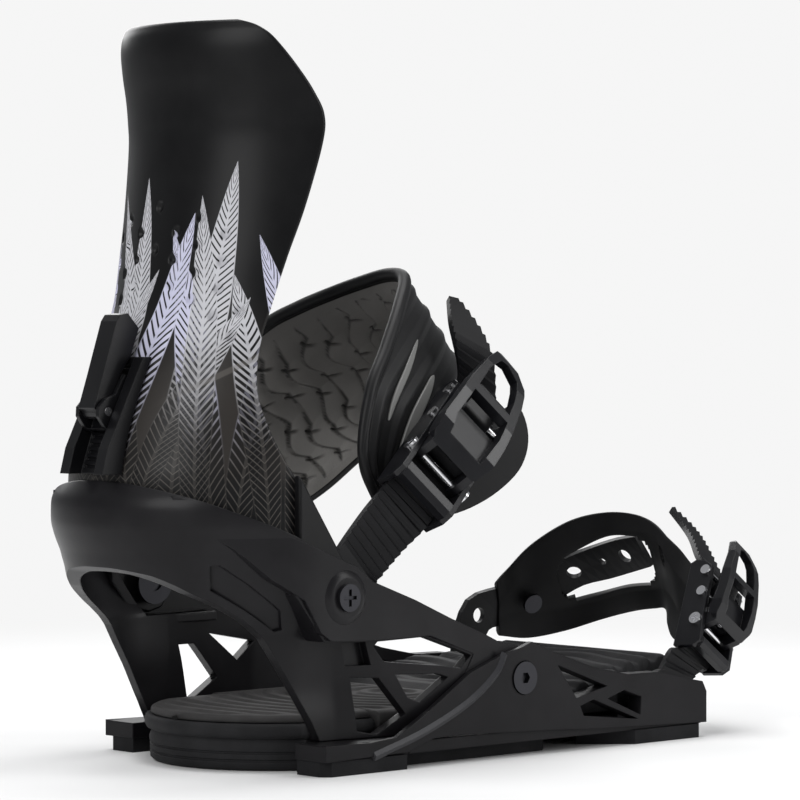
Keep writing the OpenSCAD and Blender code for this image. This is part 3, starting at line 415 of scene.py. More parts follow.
# %% Dimples and rounded rim
# for each column, out from the middle: how far round, its top dimple, how many, their step
DIMPLE_COLUMNS = [
    (0, 200, 2, 15), (10, 191, 3, 9.5), (20, 196, 4, 9.6), (30, 190, 4, 9.6), (39, 163, 2, 9),
]
DIMPLE_RADIUS, DIMPLE_DEPTH = 2.0, 1.5
RIM_ROUND = 1.5
SHELL_TOP = SHELL_ROWS[-1][0]

outer, around, to_side = shell_surface(*SHELL_GRID)
height = outer[:, :, 2]
out_way = normals(outer)
if out_way[150, 120, 0] > 0:
    out_way = -out_way
dent = np.zeros(around.shape)
for place, top, count, step in DIMPLE_COLUMNS:
    for side in {-place, place}:
        for k in range(count):
            gap = np.hypot(around - side, height - (top - step * k)) / DIMPLE_RADIUS
            dent = np.maximum(dent, DIMPLE_DEPTH * np.clip(1 - gap ** 2, 0, 1) ** 0.7)
# near a free edge the face and the inside both lean in, so that the rim is rolled over
over_rim = np.clip(RIM_ROUND - np.minimum(to_side, SHELL_TOP - height), 0, RIM_ROUND)
rolled = 0.6 * (RIM_ROUND - np.sqrt(RIM_ROUND ** 2 - over_rim ** 2))
# a low slanting crease beside the lean block
crease = 0.5 * np.exp(-((around + 15 + (height - 160) * 0.15) / 1.5) ** 2)
crease = crease * np.clip((height - 138) / 8, 0, 1) * np.clip((168 - height) / 8, 0, 1)
face = outer - out_way * (dent + rolled - crease)[:, :, None]
inner = outer - out_way * (SHELL_THICK - rolled)[:, :, None]
print("dimples", int((dent > 0.6).sum()), "points dented")

# %% [markdown]
# The print on the shell is a generic one: a fan of long leaves in silver and pale lavender,
# each with a bright rib and slanting veins, that fade down to a warm grey-brown. A leaf is a
# condition on two numbers, the distance round the back and the height, so the whole print
# stays in the shader and needs no picture.

# %% The shell's printed finish and painted sheen
# where a leaf starts round the back, its lean, its half width, the height of its tip
LEAVES = [
    (34, -0.05, 7, 188), (-66, 0.02, 7, 172), (-10, 0.34, 8, 206), (14, 0.24, 7, 196),
    (-52, -0.16, 8, 184), (2, 0.05, 8, 211), (-36, -0.26, 8, 203), (22, -0.30, 7, 178),
    (-20, -0.10, 9, 216), (-30, 0.22, 8, 192), (-44, 0.14, 8, 176), (-12, -0.34, 7, 168),
    (-2, -0.14, 8, 198), (-26, 0.06, 7, 204), (6, 0.12, 7, 180), (-58, 0.18, 7, 190),
]
LEAF_FOOT = 92
SILVER, LAVENDER = (0.52, 0.52, 0.55), (0.56, 0.56, 0.70)
SHELL_BLACK, WARM_GREY = (0.0035, 0.0035, 0.004), (0.034, 0.030, 0.027)


def printed_shell_and_sheen():
    m = Finish("printed_shell_and_sheen", SHELL_BLACK, 0.34, Coat_Weight=0.05, Coat_Roughness=0.3,
               Specular_IOR_Level=0.15)
    x, y, z = m.xyz()
    height = z * 1000.0
    back = SHELL_AXIS * MM - x
    round_to = m.node("ShaderNodeMath", {"operation": "ARCTAN2"}, (y, back)) * SHELL_RADIUS
    cloud = m.noise(16.0, 3.0)
    grain = m.noise(0.5, 2.0)
    low_glow = height.ramp(96, 112) * (1.0 - height.ramp(128, 172))
    color = m.mix(low_glow * 0.8, SHELL_BLACK, WARM_GREY)
    for k, (start, lean, half, tip) in enumerate(LEAVES):
        up = (height - LEAF_FOOT) / (tip - LEAF_FOOT)
        middle = start + (height - LEAF_FOOT) * lean * (up * 0.7 + 0.3)
        width = (1.0 - up * up * up).most(0.001) * half * (up * 0.7 + 0.45)
        across = (round_to - middle) / width
        side = across.abs()
        inside = side.ramp(1.0, 0.94) * (1.0 - up).ramp(0.0, 0.004)
        vein = ((height * (0.30 + 0.05 * (k % 3)) - side * (2.2 + 0.4 * (k % 2))).fract() - 0.5).abs()
        strength = (height + cloud * 20.0).ramp(116 + 6 * (k % 3), 176)
        drawn = (0.10 + strength * 0.26 - vein).ramp(-0.04, 0.06) * side.ramp(1.0, 0.9)
        rib = (side - 0.07).ramp(0.05, 0.0).most((side - 0.88).ramp(0.0, 0.06))
        tone = m.mix(strength, (0.070, 0.064, 0.058), LAVENDER if k % 3 == 0 else SILVER)
        inked = m.mix(drawn.most(rib * (0.35 + strength * 0.65)), m.mix(0.7, color, SHELL_BLACK), tone)
        color = m.mix(inside, color, inked)
    # painted sheen: a lighter slanting band across the near side of the back, painted into the colour
    band = (height + round_to * 0.62 - 122.0).abs()
    painted_sheen = band.ramp(1.5, 0.8) * (1.0 - round_to.ramp(-30, -12)) * 0.4
    color = m.mix(painted_sheen, color, (0.13, 0.12, 0.11))
    m.put("Base Color", m.mix(cloud.ramp(0.2, 0.8) * 0.03, color, (0.10, 0.10, 0.10)))
    m.put("Roughness", 0.30 + cloud * 0.10 + grain * 0.04)
    m.bump(grain, 0.012, 0.5)
    return m.material


shell_print_and_sheen = printed_shell_and_sheen()
highback = shell_between("highback_shell", face, inner, shell_print_and_sheen)
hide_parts("highback")
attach(highback, "highback")
print("shell faces", len(highback.data.polygons))

# %% [markdown]
# At each side the shell runs forward into a flat ear with the pivot's hole. The ear lies
# behind the hoop's arm, so only its upper edge and its inside show. A bevelled plate is
# enough, and its edge is the one that the shell's lower rows meet.

# %% Pivot ears
EAR_IN, EAR_OUT = 51.2, 54.6
EAR_OUTLINE = [(-104, 66), (-92, 52.5), (-86, 51), (-80, 52.6), (-76.5, 57.5), (-76.8, 64),
               (-83, 75), (-102.5, 104), (-104, 106)]
shell_black = moulded("shell_black", SHELL_BLACK, 0.33, 0.5, 0.015, coat=0.1)
for side, name in ((-1, "near"), (1, "far")):
    levels = sorted((side * EAR_IN, side * EAR_OUT))
    ear = plate(f"{name}_pivot_ear", EAR_OUTLINE, levels[0], levels[1], shell_black, "xz", 0.8)
    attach(ear, "highback")
print("ears made")

# %% [markdown]
# The hard parts keep their CAD solids: the real ones are moulded or pressed to plain shapes,
# and the solids already have their bores and windows. What they need is a finish. Each body
# slot gets its own, and a few bright or black fasteners are picked out by name.

# %% Finishes for the solids
FINISHES = {}
for finish, names in (
    (base_nylon, "baseplate mounting_disc"),
    (board_foam, "rear_board_pads front_board_pads"),
    (cushion_foam, "mid_cushions"),
    (lever_nylon, "lean_guide lean_block lean_lever"),
    (strap_nylon, "ankle_connector toe_connector ankle_ladder toe_ladder"),
    (black_steel, "hoop_screws hoop_nuts pivot_screws pivot_nuts toe_strap_screws"),
    (black_steel, "ankle_connector_screw ankle_connector_nut"),
    (black_steel, "toe_connector_screw toe_connector_nut"),
):
    FINISHES.update(dict.fromkeys(names.split(), finish))
SLOT_FINISHES = {"buckle_metal": buckle_black, "pawl_nylon": lever_nylon, "steel": bright_steel}
slots = {row["node"]: row["material_slot"] for row in frame["record"]["subparts"]}
for node, solid in NODES.items():
    finish = FINISHES.get(node) or SLOT_FINISHES.get(slots[node]) or rubber_black
    solid.data.materials.clear()
    solid.data.materials.append(finish)
print("finished", len(NODES), "solids")

# %% Where the pivots are
def middle_xz(node):
    low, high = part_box(node)
    return (low.x + high.x) / 2 / MM, (low.z + high.z) / 2 / MM


PIVOT, HOOP_SCREW = middle_xz("pivot_screws"), middle_xz("hoop_screws")
print("pivot and hoop screw", np.round([PIVOT, HOOP_SCREW], 1).tolist())

# %% [markdown]
# The heel hoop is the piece that faces the camera: a thick moulded band that sweeps from the
# base up behind the heel. Its wall is drawn as rows, one for each height, and the windows
# are then cut with flat cutters, the way that a mould's sliders form them.

# %% The hoop's wall
HOOP_AXIS, HOOP_RADIUS, HOOP_INSIDE, HOOP_WALL = -95.5, 59.3, 55.5, 4.1
# height, outer radius of the wall round the heel
HOOP_ROWS = [
    (11, 49), (18.5, 48.7), (33, 47.3), (48, 48), (52, 48.5), (58, 51), (62, 52.5), (65, 53.5),
    (68, 54.6), (72, 55.4), (75.5, 56.4), (77.5, 56.9), (82, 58.6), (85, 59.5), (88, 60.1),
    (94, 60.1), (97, 59.6), (99.6, 58.3), (103.6, 55.8),
]


ARM_STEPS, HEEL_STEPS = 40, 97
HOOP_GRID = (80, 2 * ARM_STEPS + HEEL_STEPS)


def hoop_wall(shrink):
    """Grid of the wall's face, from the near toe end round the heel to the far toe end."""
    heights, radii = curve(HOOP_ROWS, HOOP_GRID[0]).T
    run = np.linspace(12, -84, ARM_STEPS)
    turned = np.radians(np.linspace(-90, 90, HEEL_STEPS))
    grid = []
    for z, r in zip(heights, radii):
        d = shrink(z, r)
        wide = r + (HOOP_RADIUS - 0.3 - r) * np.clip((run + 85) / 53, 0, 1) - d
        near = np.column_stack([run, -wide, np.full(ARM_STEPS, z)])
        back = np.column_stack([HOOP_AXIS - (r - d) * np.cos(turned), (r - d) * np.sin(turned),
                                np.full(HEEL_STEPS, z)])
        grid.append(np.vstack([near, back, near[::-1] * (1, -1, 1)]))
    return np.stack(grid)


def wall_depth(z, r):
    """How deep the wall is at a height; above the waist its inside stays clear of the shell."""
    return HOOP_WALL if z < 75 else max(r - HOOP_INSIDE, min(HOOP_WALL, r - 54.6))


hoop_face = hoop_wall(lambda z, r: 0.0)
hoop_back = hoop_wall(wall_depth)
print("hoop grid", hoop_face.shape)

# %% Cutting with flat cutters
def cutter(outline, low=-80, high=80, axes="xz"):
    """A prism over an outline, used to cut and then thrown away."""
    return plate("cutter", outline, low, high, hoop_nylon, axes, edge=0)


def carved(obj, steps):
    """obj after each (operation, cutter) step; the cutters are deleted."""
    for operation, tool in steps:
        step = obj.modifiers.new("carve", "BOOLEAN")
        step.operation, step.solver, step.object = operation, "EXACT", tool
    bpy.context.view_layer.update()
    graph = bpy.context.evaluated_depsgraph_get()
    result = bpy.data.meshes.new_from_object(obj.evaluated_get(graph))
    obj.modifiers.clear()
    obj.data = result
    for _, tool in steps:
        bpy.data.objects.remove(tool)
    obj.data.shade_smooth()
    obj.data.set_sharp_from_angle(angle=math.radians(28))
    return obj


WALL_OUTLINE = [
    (-160, 105), (-150.7, 103.5), (-143.5, 99.9), (-129.8, 93.6), (-109.3, 85.1),
    (-104.9, 83), (-104.9, 66.4), (-93, 50.5), (-54, 50.5), (-45, 48), (-19, 42), (-0.6, 37),
    (10, 33), (11, 22), (4, 17.2), (-20, 13.5), (-60, 11.3), (-90, 11.3), (-93.7, 18.5),
    (-102.4, 33), (-112.3, 48.4), (-116, 52), (-120.5, 55.5), (-129, 60.8), (-136, 64.6),
    (-145.3, 70.9), (-150.8, 73.2), (-160, 74),
]
NEAR_WINDOWS = [
    [(-66.6, 43.6), (-65.1, 45.3), (-45.7, 46.2), (-25.5, 38.6), (-30.8, 34.2), (-39, 35.5),
     (-62.3, 38)],
    [(-75.9, 33), (-64.4, 32.3), (-53.9, 19), (-65.9, 12.2), (-74, 13.9)],
    [(-57.6, 33.1), (-40.3, 32.7), (-36.1, 31.3), (-48, 22.7), (-52.9, 24.7)],
]
FAR_WINDOWS = [
    [(-77.1, 38.9), (-68, 38.7), (-54, 25), (-70.5, 16.5)], [(-59, 42), (-31.5, 37.2), (-42, 30.6)],
]
POCKET_DEPTH = 1.3
POCKET = [(-133.6, 74.7), (-131.2, 75.1), (-108.6, 58.4), (-106, 51.5), (-109, 51), (-132.2, 66.1)]
BLIND_POCKET = [(-79.5, 45.4), (-70.1, 45.5), (-67.5, 37.1), (-77.9, 37.2)]

hoop = shell_between("heel_hoop_wall", hoop_face, hoop_back, hoop_nylon)
hoop_out = normals(hoop_face)
if hoop_out[40, 88, 0] > 0:
    hoop_out = -hoop_out
pocket_tool = shell_between("pocket_tool", hoop_face + hoop_out * 3,
                            hoop_face - hoop_out * POCKET_DEPTH, hoop_nylon)
carved(pocket_tool, [("INTERSECT", cutter(POCKET))])
steps = [("INTERSECT", cutter(WALL_OUTLINE))]
steps += [("DIFFERENCE", cutter(w, -80, 0)) for w in NEAR_WINDOWS]
steps += [("DIFFERENCE", cutter(w, 0, 80)) for w in FAR_WINDOWS]
steps += [("DIFFERENCE", cutter(BLIND_POCKET, -80, -47.6)), ("DIFFERENCE", pocket_tool)]
carved(hoop, steps)
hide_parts("heel_hoop")
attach(hoop, "base")
print("hoop wall", len(hoop.data.polygons), "faces")

# %% The plate that carries the pivots
ARM_OUTLINE = [
    (-144.3, 99.1), (-129.3, 92.8), (-109.1, 84.2), (-94.4, 78.2), (-81, 72.9), (-73.7, 67.5),
    (-53.3, 60), (-36, 52.6), (-19.3, 46.1), (-11, 42.4), (-0.6, 39.8), (8, 36.5),
    (12.5, 30), (11, 22), (4, 17.2), (-20, 13.5), (-30, 30), (-24.5, 38.9), (-45.7, 46.8),
    (-75.3, 46.7), (-93.4, 47.4), (-98.2, 50.5), (-105.1, 62.2), (-117.3, 69.7),
    (-129.3, 80.6), (-143.9, 91.1),
]


def plan_ring(radius):
    """The hoop's U in plan at one radius, from the near toe end to the far one."""
    arc = np.radians(np.linspace(-90, 90, 121))
    curved = [(HOOP_AXIS - radius * math.cos(a), radius * math.sin(a)) for a in arc]
    return [(14, -radius)] + curved + [(14, radius)]


def hole(middle, radius, count=32):
    """Outline of a round hole in X and Z."""
    turns = np.linspace(0, 2 * math.pi, count, endpoint=False)
    return [(middle[0] + radius * math.cos(a), middle[1] + radius * math.sin(a)) for a in turns]


SCREW_HOLE = 3.2
outline_u = plan_ring(HOOP_RADIUS) + plan_ring(HOOP_INSIDE)[::-1]
arm = cutter(outline_u, 8, 110, "xy")
arm.name = "heel_hoop_arms"
holes = [("DIFFERENCE", cutter(hole(middle, SCREW_HOLE))) for middle in (PIVOT, HOOP_SCREW)]
carved(arm, [("INTERSECT", cutter(ARM_OUTLINE)), *holes])
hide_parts("heel_hoop")
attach(arm, "base")

# the web is the inner wall that closes the hoop's side below the arm
WEB = [(-104.9, 76), (-104.9, 66.4), (-93, 50.5), (-58, 50.5), (-58, 47), (-95, 47),
       (-108.3, 64), (-108.3, 76)]
for side, name in ((-1, "near"), (1, "far")):
    low, high = sorted((side * 45.5, side * 57.5))
    web = plate(f"{name}_hoop_web", WEB, low, high, hoop_nylon, "xz", 0.4)
    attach(web, "base")
print("arms and webs made")

# %% Soft dome round each pivot screw
DOME_RADIUS, DOME_HOLE, DOME_RISE, DOME_STEPS, DOME_SIDES = 9.6, 4.6, 1.2, 14, 72


def dome(name, side):
    """A low ring that swells out of the arm round a screw."""
    swell = [DOME_RISE * math.sin(math.pi / 2 * min(1, k / 8)) for k in range(DOME_STEPS + 1)]
    radii = np.linspace(DOME_RADIUS, DOME_HOLE, DOME_STEPS + 1)
    profile = [(DOME_RADIUS, -0.5), *zip(radii, swell), (DOME_HOLE, -0.5)]
    verts = [(x, side * (HOOP_RADIUS + high), z)
             for radius, high in profile for x, z in hole(PIVOT, radius, DOME_SIDES)]
    faces = quads(len(profile), DOME_SIDES, round_rows=True, round_cols=True)
    made = make(name, verts, faces, hoop_nylon)
    made.data.set_sharp_from_angle(angle=math.radians(40))
    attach(made, "base")


dome("near_pivot_dome", -1)
dome("far_pivot_dome", 1)
print("domes made")

# %% [markdown]
# The ankle pad is what holds the boot. Outside it is a black rubber frame with raised ribs
# and thin grey inlays, round its rim runs a thick rolled bead, and inside is a warm grey
# foam liner pressed into rows of overlapping scales. It is drawn between two rails, the rear
# one that shows against the sky and the front one behind the buckle.

# %% The pad's surface
PAD_REAR = [
    (-55.3, -41.1, 95), (-61.3, -40.1, 110), (-55.3, -38.1, 133), (-43.3, -33.1, 148),
    (-30, -25.8, 163), (-18, -15.9, 174), (-15, -4, 176), (-17, 10, 173), (-21, 22, 169),
    (-29, 30.8, 164), (-39.1, 38.7, 157), (-53.1, 43.7, 143), (-69.1, 46.7, 112),
]
PAD_FRONT = [
    (-40.2, -38.9, 87), (-28.2, -37.9, 92), (-8.2, -36.4, 106), (6.8, -30.9, 118),
    (17.1, -20.6, 126), (22.7, -9.1, 131), (25.4, 3.5, 131.5), (23, 15, 127), (18, 26.9, 119),
    (10, 37.8, 109), (-4.1, 42.7, 97), (-17.1, 45.2, 89), (-33.1, 46.7, 80),
]
PAD_MIDDLE, PAD_CROWN = np.array([-10, 4, 110]), 1.8
PAD_GRID = (150, 330)


def pad_surface(rows, cols):
    """Points from the rear rail to the front one, and each point's place along both ways."""
    rear, front = curve(PAD_REAR, cols), curve(PAD_FRONT, cols)
    t, s = np.meshgrid(np.linspace(0, 1, rows), np.linspace(0, 1, cols), indexing="ij")
    grid = rear[None] * (1 - t[:, :, None]) + front[None] * t[:, :, None]
    away = (grid - PAD_MIDDLE) * (0.4, 1, 1)
    away /= np.linalg.norm(away, axis=2, keepdims=True)
    swell = PAD_CROWN * np.sin(math.pi * t) * np.sin(math.pi * s)
    return grid + swell[:, :, None] * away, t, s


pad, pad_t, pad_s = pad_surface(*PAD_GRID)
pad_out = normals(pad)
print("pad surface", pad.shape)

# %% The rubber frame, with ribs that run from the bead to the front
RIB_COUNT = 5
rib_line = pad_t + 0.10 * np.sin(pad_s * 9.0)
rib = np.clip(np.abs((rib_line * RIB_COUNT) % 1 - 0.5) * 4 - 0.8, 0, 1)
fade_ends = np.clip(pad_s / 0.06, 0, 1) * np.clip((1 - pad_s) / 0.06, 0, 1)
thick = (0.8 + 0.9 * rib * fade_ends)[:, :, None]
pad_rubber = Finish("pad_rubber", (0.006, 0.006, 0.0065), 0.40, Specular_IOR_Level=0.25)
rib_grain = pad_rubber.noise(0.5, 2.0)
pad_rubber.put("Roughness", 0.40 + 0.12 * rib_grain)
pad_rubber.bump(rib_grain, 0.03, 0.6)
pad_frame = shell_between("ankle_pad_rubber", pad + pad_out * thick, pad + pad_out * 0.05,
                          pad_rubber.material)
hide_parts("ankle_pad_frame")
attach(pad_frame, "ankle_strap")
print("rubber frame", round(float(thick.max()), 2), "mm at its ribs")

# %% [markdown]
# Each scale of the liner is a shallow ramp that ends in a sharp step, with a star of three
# creases where scales meet. The steps are made by moving the points of a fine grid, because
# they throw real shadows from the side, which a bump map on a flat sheet would not. The
# creases and the edge of each step are also darkened in colour, as painted shade.

# %% The scaled foam liner
LINER_DEEP, SCALE_ROWS, SCALES_ACROSS = 5.76, 22.0, 4.2
row = pad_s * SCALE_ROWS + 0.28 * np.sin(pad_t * 15 + pad_s * 9) + 0.5 * pad_t
row_number = np.floor(row)
scale = pad_t * SCALES_ACROSS + 0.5 * (row_number % 2) + 0.12 * np.sin(row_number * 2.4)
down, over = row - row_number, scale - np.floor(scale)
lip = down + 0.30 * (np.abs(over - 0.5) * 2) ** 1.5
step = np.clip(lip / 1.1, 0, 1) ** 1.5 * np.clip((1.10 - lip) / 0.10, 0, 1)
crease = np.clip(1 - np.abs(over - 0.08 - 0.35 * (1 - down)) / 0.05, 0, 1)
crease = crease * np.clip((down - 0.3) * 3, 0, 1)
to_edge = np.minimum(np.minimum(pad_t, 1 - pad_t) * 12, np.minimum(pad_s, 1 - pad_s) * 22)
relief = (2.3 * step - 1.5 * crease) * np.clip(to_edge - 0.8, 0, 1)
full = np.sqrt(np.clip(to_edge, 0, 1)) * (0.35 + 0.65 * np.sin(math.pi * pad_t))
deep = (full * LINER_DEEP + 0.4 + relief)[:, :, None]
liner_finish = Finish("liner_foam", (0.115, 0.110, 0.102), 0.62, Sheen_Weight=0.15)
nap = liner_finish.noise(0.7, 4.0)
patch = liner_finish.noise(22.0, 3.0)
# painted shade: the liner's colour is darkened along its creases and at the edge of each step
painted_crease_shade = liner_finish.node("ShaderNodeAttribute", {"attribute_name": "painted_crease_shade"}, output="Fac")
warm = liner_finish.mix(patch.ramp(0.3, 0.7), (0.140, 0.134, 0.125), (0.195, 0.187, 0.175))
liner_finish.put("Base Color", liner_finish.mix(painted_crease_shade, warm, (0.022, 0.021, 0.019)))
liner_finish.put("Roughness", 0.55 + 0.16 * nap)
liner_finish.bump(nap, 0.10, 0.8)
liner = shell_between("ankle_pad_scales", pad - pad_out * 0.3, pad - pad_out * deep,
                      liner_finish.material)
# where the painted shade goes: the creases and a thin line at each scale's step, on the inside face only
shade = np.clip(crease + np.clip(1 - np.abs(lip - 1.06) / 0.10, 0, 1), 0, 1) * (relief != 0)
dark = liner.data.attributes.new("painted_crease_shade", "FLOAT", "POINT")
on_both = np.concatenate([shade.ravel() * 0, shade.ravel()])
dark.data.foreach_set("value", on_both.astype(np.float32))
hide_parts("ankle_pad_liner")
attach(liner, "ankle_strap")
print("liner", round(float(deep.max()), 1), "mm deep, relief", round(float(np.ptp(relief)), 2))

# %% [markdown]
# The bead round the rim is one closed cord of rubber that follows the four edges of the pad.
# It is thickest along the rear rail, where the photograph shows it as a dark outline.

# %% The rolled bead
def around_edge(grid):
    """Every few points of a grid's four edges, in order."""
    return np.vstack([grid[0, 4:-4:5], grid[4:-4:6, -1], grid[-1, -5:4:-5], grid[-5:4:-6, 0]])


bead_line = curve(around_edge(pad + pad_out * 0.2), 260, closed=True)
bead = tube("ankle_pad_bead", bead_line, 1.9, pad_rubber.material, closed=True)
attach(bead, "ankle_strap")
rail = curve(PAD_REAR, 160) + (-0.6, 0, 1.2)
rail_bead = tube("ankle_pad_rail", rail, 2.5, pad_rubber.material, taper=0.7)
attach(rail_bead, "ankle_strap")
print("bead round the pad")

# %% Grey inlays on the near side of the frame
inlay_finish = Finish("grey_inlay", (0.16, 0.16, 0.155), 0.42)
inlay_finish.put("Roughness", 0.38 + 0.15 * inlay_finish.noise(0.8))
# where each inlay starts and ends across the pad, and where along it
INLAYS = [(0.17, 0.22, 0.16, 0.34), (0.37, 0.45, 0.10, 0.30), (0.60, 0.64, 0.12, 0.30)]
for k, (low, high, first, last) in enumerate(INLAYS):
    r0, r1 = (int(part * (PAD_GRID[0] - 1)) for part in (low, high))
    c0, c1 = (int(part * (PAD_GRID[1] - 1)) for part in (first, last))
    width = np.sin(np.linspace(0, math.pi, c1 - c0))[None, :, None] ** 0.5
    mid = (pad[r0, c0:c1] + pad[r1, c0:c1]) / 2
    strip = mid[None] + (pad[r0:r1 + 1, c0:c1] - mid[None]) * width
    lift = pad_out[r0:r1 + 1, c0:c1]
    inlay = shell_between(f"grey_inlay_{k}", strip + lift * 1.85, strip + lift * 0.8,
                          inlay_finish.material)
    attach(inlay, "ankle_strap")
print("inlays set in")

# %% [markdown]
# The toe cap is one rubber moulding that wraps the front of the boot: a bridge above, a band
# below and an opening between them. The bridge and band meet at the two wings, where the
# strap and the buckle are fixed. It is drawn as four lines of points from the far side to
# the near one, and the opening is left out of the grid.

# %% The toe cap
CAP_RAILS = [
    [(92, 48, 54), (96, 45, 60), (101, 36, 70), (107, 22, 79), (113, 8, 83), (116, -5, 82.8),
     (116.4, -15, 79.8), (115.5, -24, 74.5), (114.5, -32.5, 69.5), (115.5, -39, 63.1)],
    [(95, 50, 46), (100, 46, 52), (107, 41, 58), (114.5, 25, 69), (115.8, 9, 75.3),
     (117.2, -5, 75.5), (116.5, -15, 74.5), (113.8, -24, 67.6), (111.7, -33, 60.2), (112.2, -40, 55)],
    [(96, 51, 40), (107, 48, 42), (121, 43, 42), (132, 32, 45.5), (132, 14, 50),
     (128.9, -5, 52.4), (124.5, -14, 53.1), (117.4, -25, 50.1), (110.7, -35, 45.4), (108.8, -41, 42)],
    [(97, 51.5, 32), (111, 49, 30.5), (125, 42, 33), (135, 30, 38), (134, 14, 41.8),
     (128.2, -4, 44.6), (125.1, -14, 45.1), (112.4, -27, 40.9), (104.8, -36, 37.2), (102, -42, 35)],
]
CAP_THICK, CAP_EDGE = 2.6, 0.9
CAP_STEPS, CAP_COLS = 14, 200
cap_rows = []
rails = [curve(r, CAP_COLS) for r in CAP_RAILS]
for a, b in zip(rails[:-1], rails[1:]):
    cap_rows += [a * (1 - t) + b * t for t in np.linspace(0, 1, CAP_STEPS, endpoint=False)]
cap = np.stack(cap_rows + [rails[-1]])
cap_out = normals(cap)
if cap_out[20, 100, 0] < 0:
    cap_out = -cap_out
print("cap grid", cap.shape)

# %% The opening over the toes
# the middle of each cell: which rail it lies at, 0 to 3, and which of nine parts along them
cells = 3 * CAP_STEPS
at_rail, at_part = np.meshgrid((np.arange(cells) + 0.5) / CAP_STEPS,
                               (np.arange(CAP_COLS - 1) + 0.5) / (CAP_COLS - 1) * 9, indexing="ij")
window = np.abs((at_part - 4.15) / 1.95) ** 4 + np.abs((at_rail - 1.5) / 0.45) ** 4 < 1
strap_hole = ((at_part - 7.1) / 0.22) ** 2 + ((at_rail - 1.15) / 0.22) ** 2 < 1
from_rim = np.minimum(np.arange(cells + 1), cells - np.arange(cells + 1)) / 3
cap_depth = CAP_EDGE + (CAP_THICK - CAP_EDGE) * np.sqrt(np.minimum(from_rim, 1))
toe_cap = shell_between("toe_cap_rubber", cap + cap_out * cap_depth[:, None, None], cap,
                        rubber_black, keep=~(window | strap_hole))
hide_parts("toe_cap")
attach(toe_cap, "toe_strap")
round_edges(toe_cap, 0.5, 50)
print("toe cap made")

# %% [markdown]
# Under the boot lie foam parts: a heel cushion of two layers with a rounded rim, a ribbed
# footbed over it, and a ramp under the toes with waves across. Foam has no sharp edges, so
# each is drawn as rings that lean in at the rim, and the ribs are moved points.

# %% Heel cushion
RING_POINTS = 120


def heel_ring(grow):
    """Outline of the heel in plan, grown by a distance; it starts at the front near corner."""
    wide = 44.5 + grow
    arc = np.radians(range(58, -59, -4))
    side = np.clip((51 + grow) * np.sin(arc), -wide, wide)
    back = np.column_stack([-56 - (60 + grow) * np.cos(arc), side])
    return curve(np.vstack([(-60, wide), back, (-60, -wide)]), RING_POINTS)


def stack(name, levels, ring, finish):
    """Rings at (height, growth) pairs, closed below and above."""
    rings = [np.column_stack([ring(grow), np.full(RING_POINTS, height)]) for height, grow in levels]
    verts = np.vstack([*rings, rings[-1].mean(axis=0), rings[0].mean(axis=0)])
    faces = quads(len(rings), RING_POINTS, round_cols=True)
    top = (len(rings) - 1) * RING_POINTS
    for k in range(RING_POINTS):
        after = (k + 1) % RING_POINTS
        faces += [(top + k, top + after, len(verts) - 2), (after, k, len(verts) - 1)]
    made = make(name, verts, faces, finish)
    made.data.set_sharp_from_angle(angle=math.radians(50))
    return made


# height and growth of each ring, with three grooves round the side
CUSHION = [(0.2, -4), (0.3, -2.4), (1.2, -1.4), (3.2, -1.2), (3.5, -1.7), (3.9, -1.7), (4.2, -1.2),
           (6.0, -1.1), (6.3, -1.6), (6.7, -1.6), (7.0, -1.1), (8.4, -0.9), (10.6, -1.8),
           (11.2, -1.8), (12.0, 0.0), (13.4, 0.7), (15.4, 0.7), (16.4, 0.2), (16.9, -0.8), (17.0, -3)]
heel_cushion = stack("heel_cushion_foam", CUSHION, heel_ring, cushion_foam)
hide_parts("heel_cushion")
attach(heel_cushion, "base")
print("cushion", len(CUSHION), "rings")

# %% Heel footbed with its fan of ribs
BED_FRONT, BED_BACK, BED_HALF, BED_TOP, RIB_STEP = 5.5, -117, 47.0, 18.5, 8.4
bed_x, bed_y = np.meshgrid(np.linspace(BED_BACK, BED_FRONT, 260), np.linspace(-1, 1, 150), indexing="ij")
on_arc = np.clip(1 - ((bed_x + 56) / 58.6) ** 2, 0, 1)
half_wide = np.where(bed_x > -60, BED_HALF, np.minimum(42.5, 49.2 * np.sqrt(on_arc)))
bed_y = bed_y * half_wide
from_side, from_back = half_wide - np.abs(bed_y), bed_x - BED_BACK
ribs = np.clip(np.sin(np.hypot(bed_x + 10, bed_y * 0.9) / RIB_STEP * 2 * math.pi) * 1.6, -1, 1)
flat_rim = np.clip(from_side / 6 - 0.6, 0, 1) * np.clip((from_back - 4) / 6, 0, 1)
flat_rim = flat_rim * np.clip((4 - bed_x) / 4, 0, 1)
drop = np.clip(np.minimum(from_side, from_back) / 2.5, 0, 1)
bed_top = BED_TOP + 1.3 * np.sqrt(drop) + 0.55 * ribs * flat_rim
bed_low = np.minimum(np.where(bed_x > -60, 12.8, 17.3), bed_top - 0.4)
top_grid, low_grid = (np.stack([bed_x, bed_y, z], axis=2) for z in (bed_top, bed_low))
heel_bed = shell_between("heel_footbed_foam", top_grid, low_grid, footbed_foam)
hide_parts("heel_footbed")
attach(heel_bed, "base")
print("footbed ribs", round(float(bed_top.max()), 2))

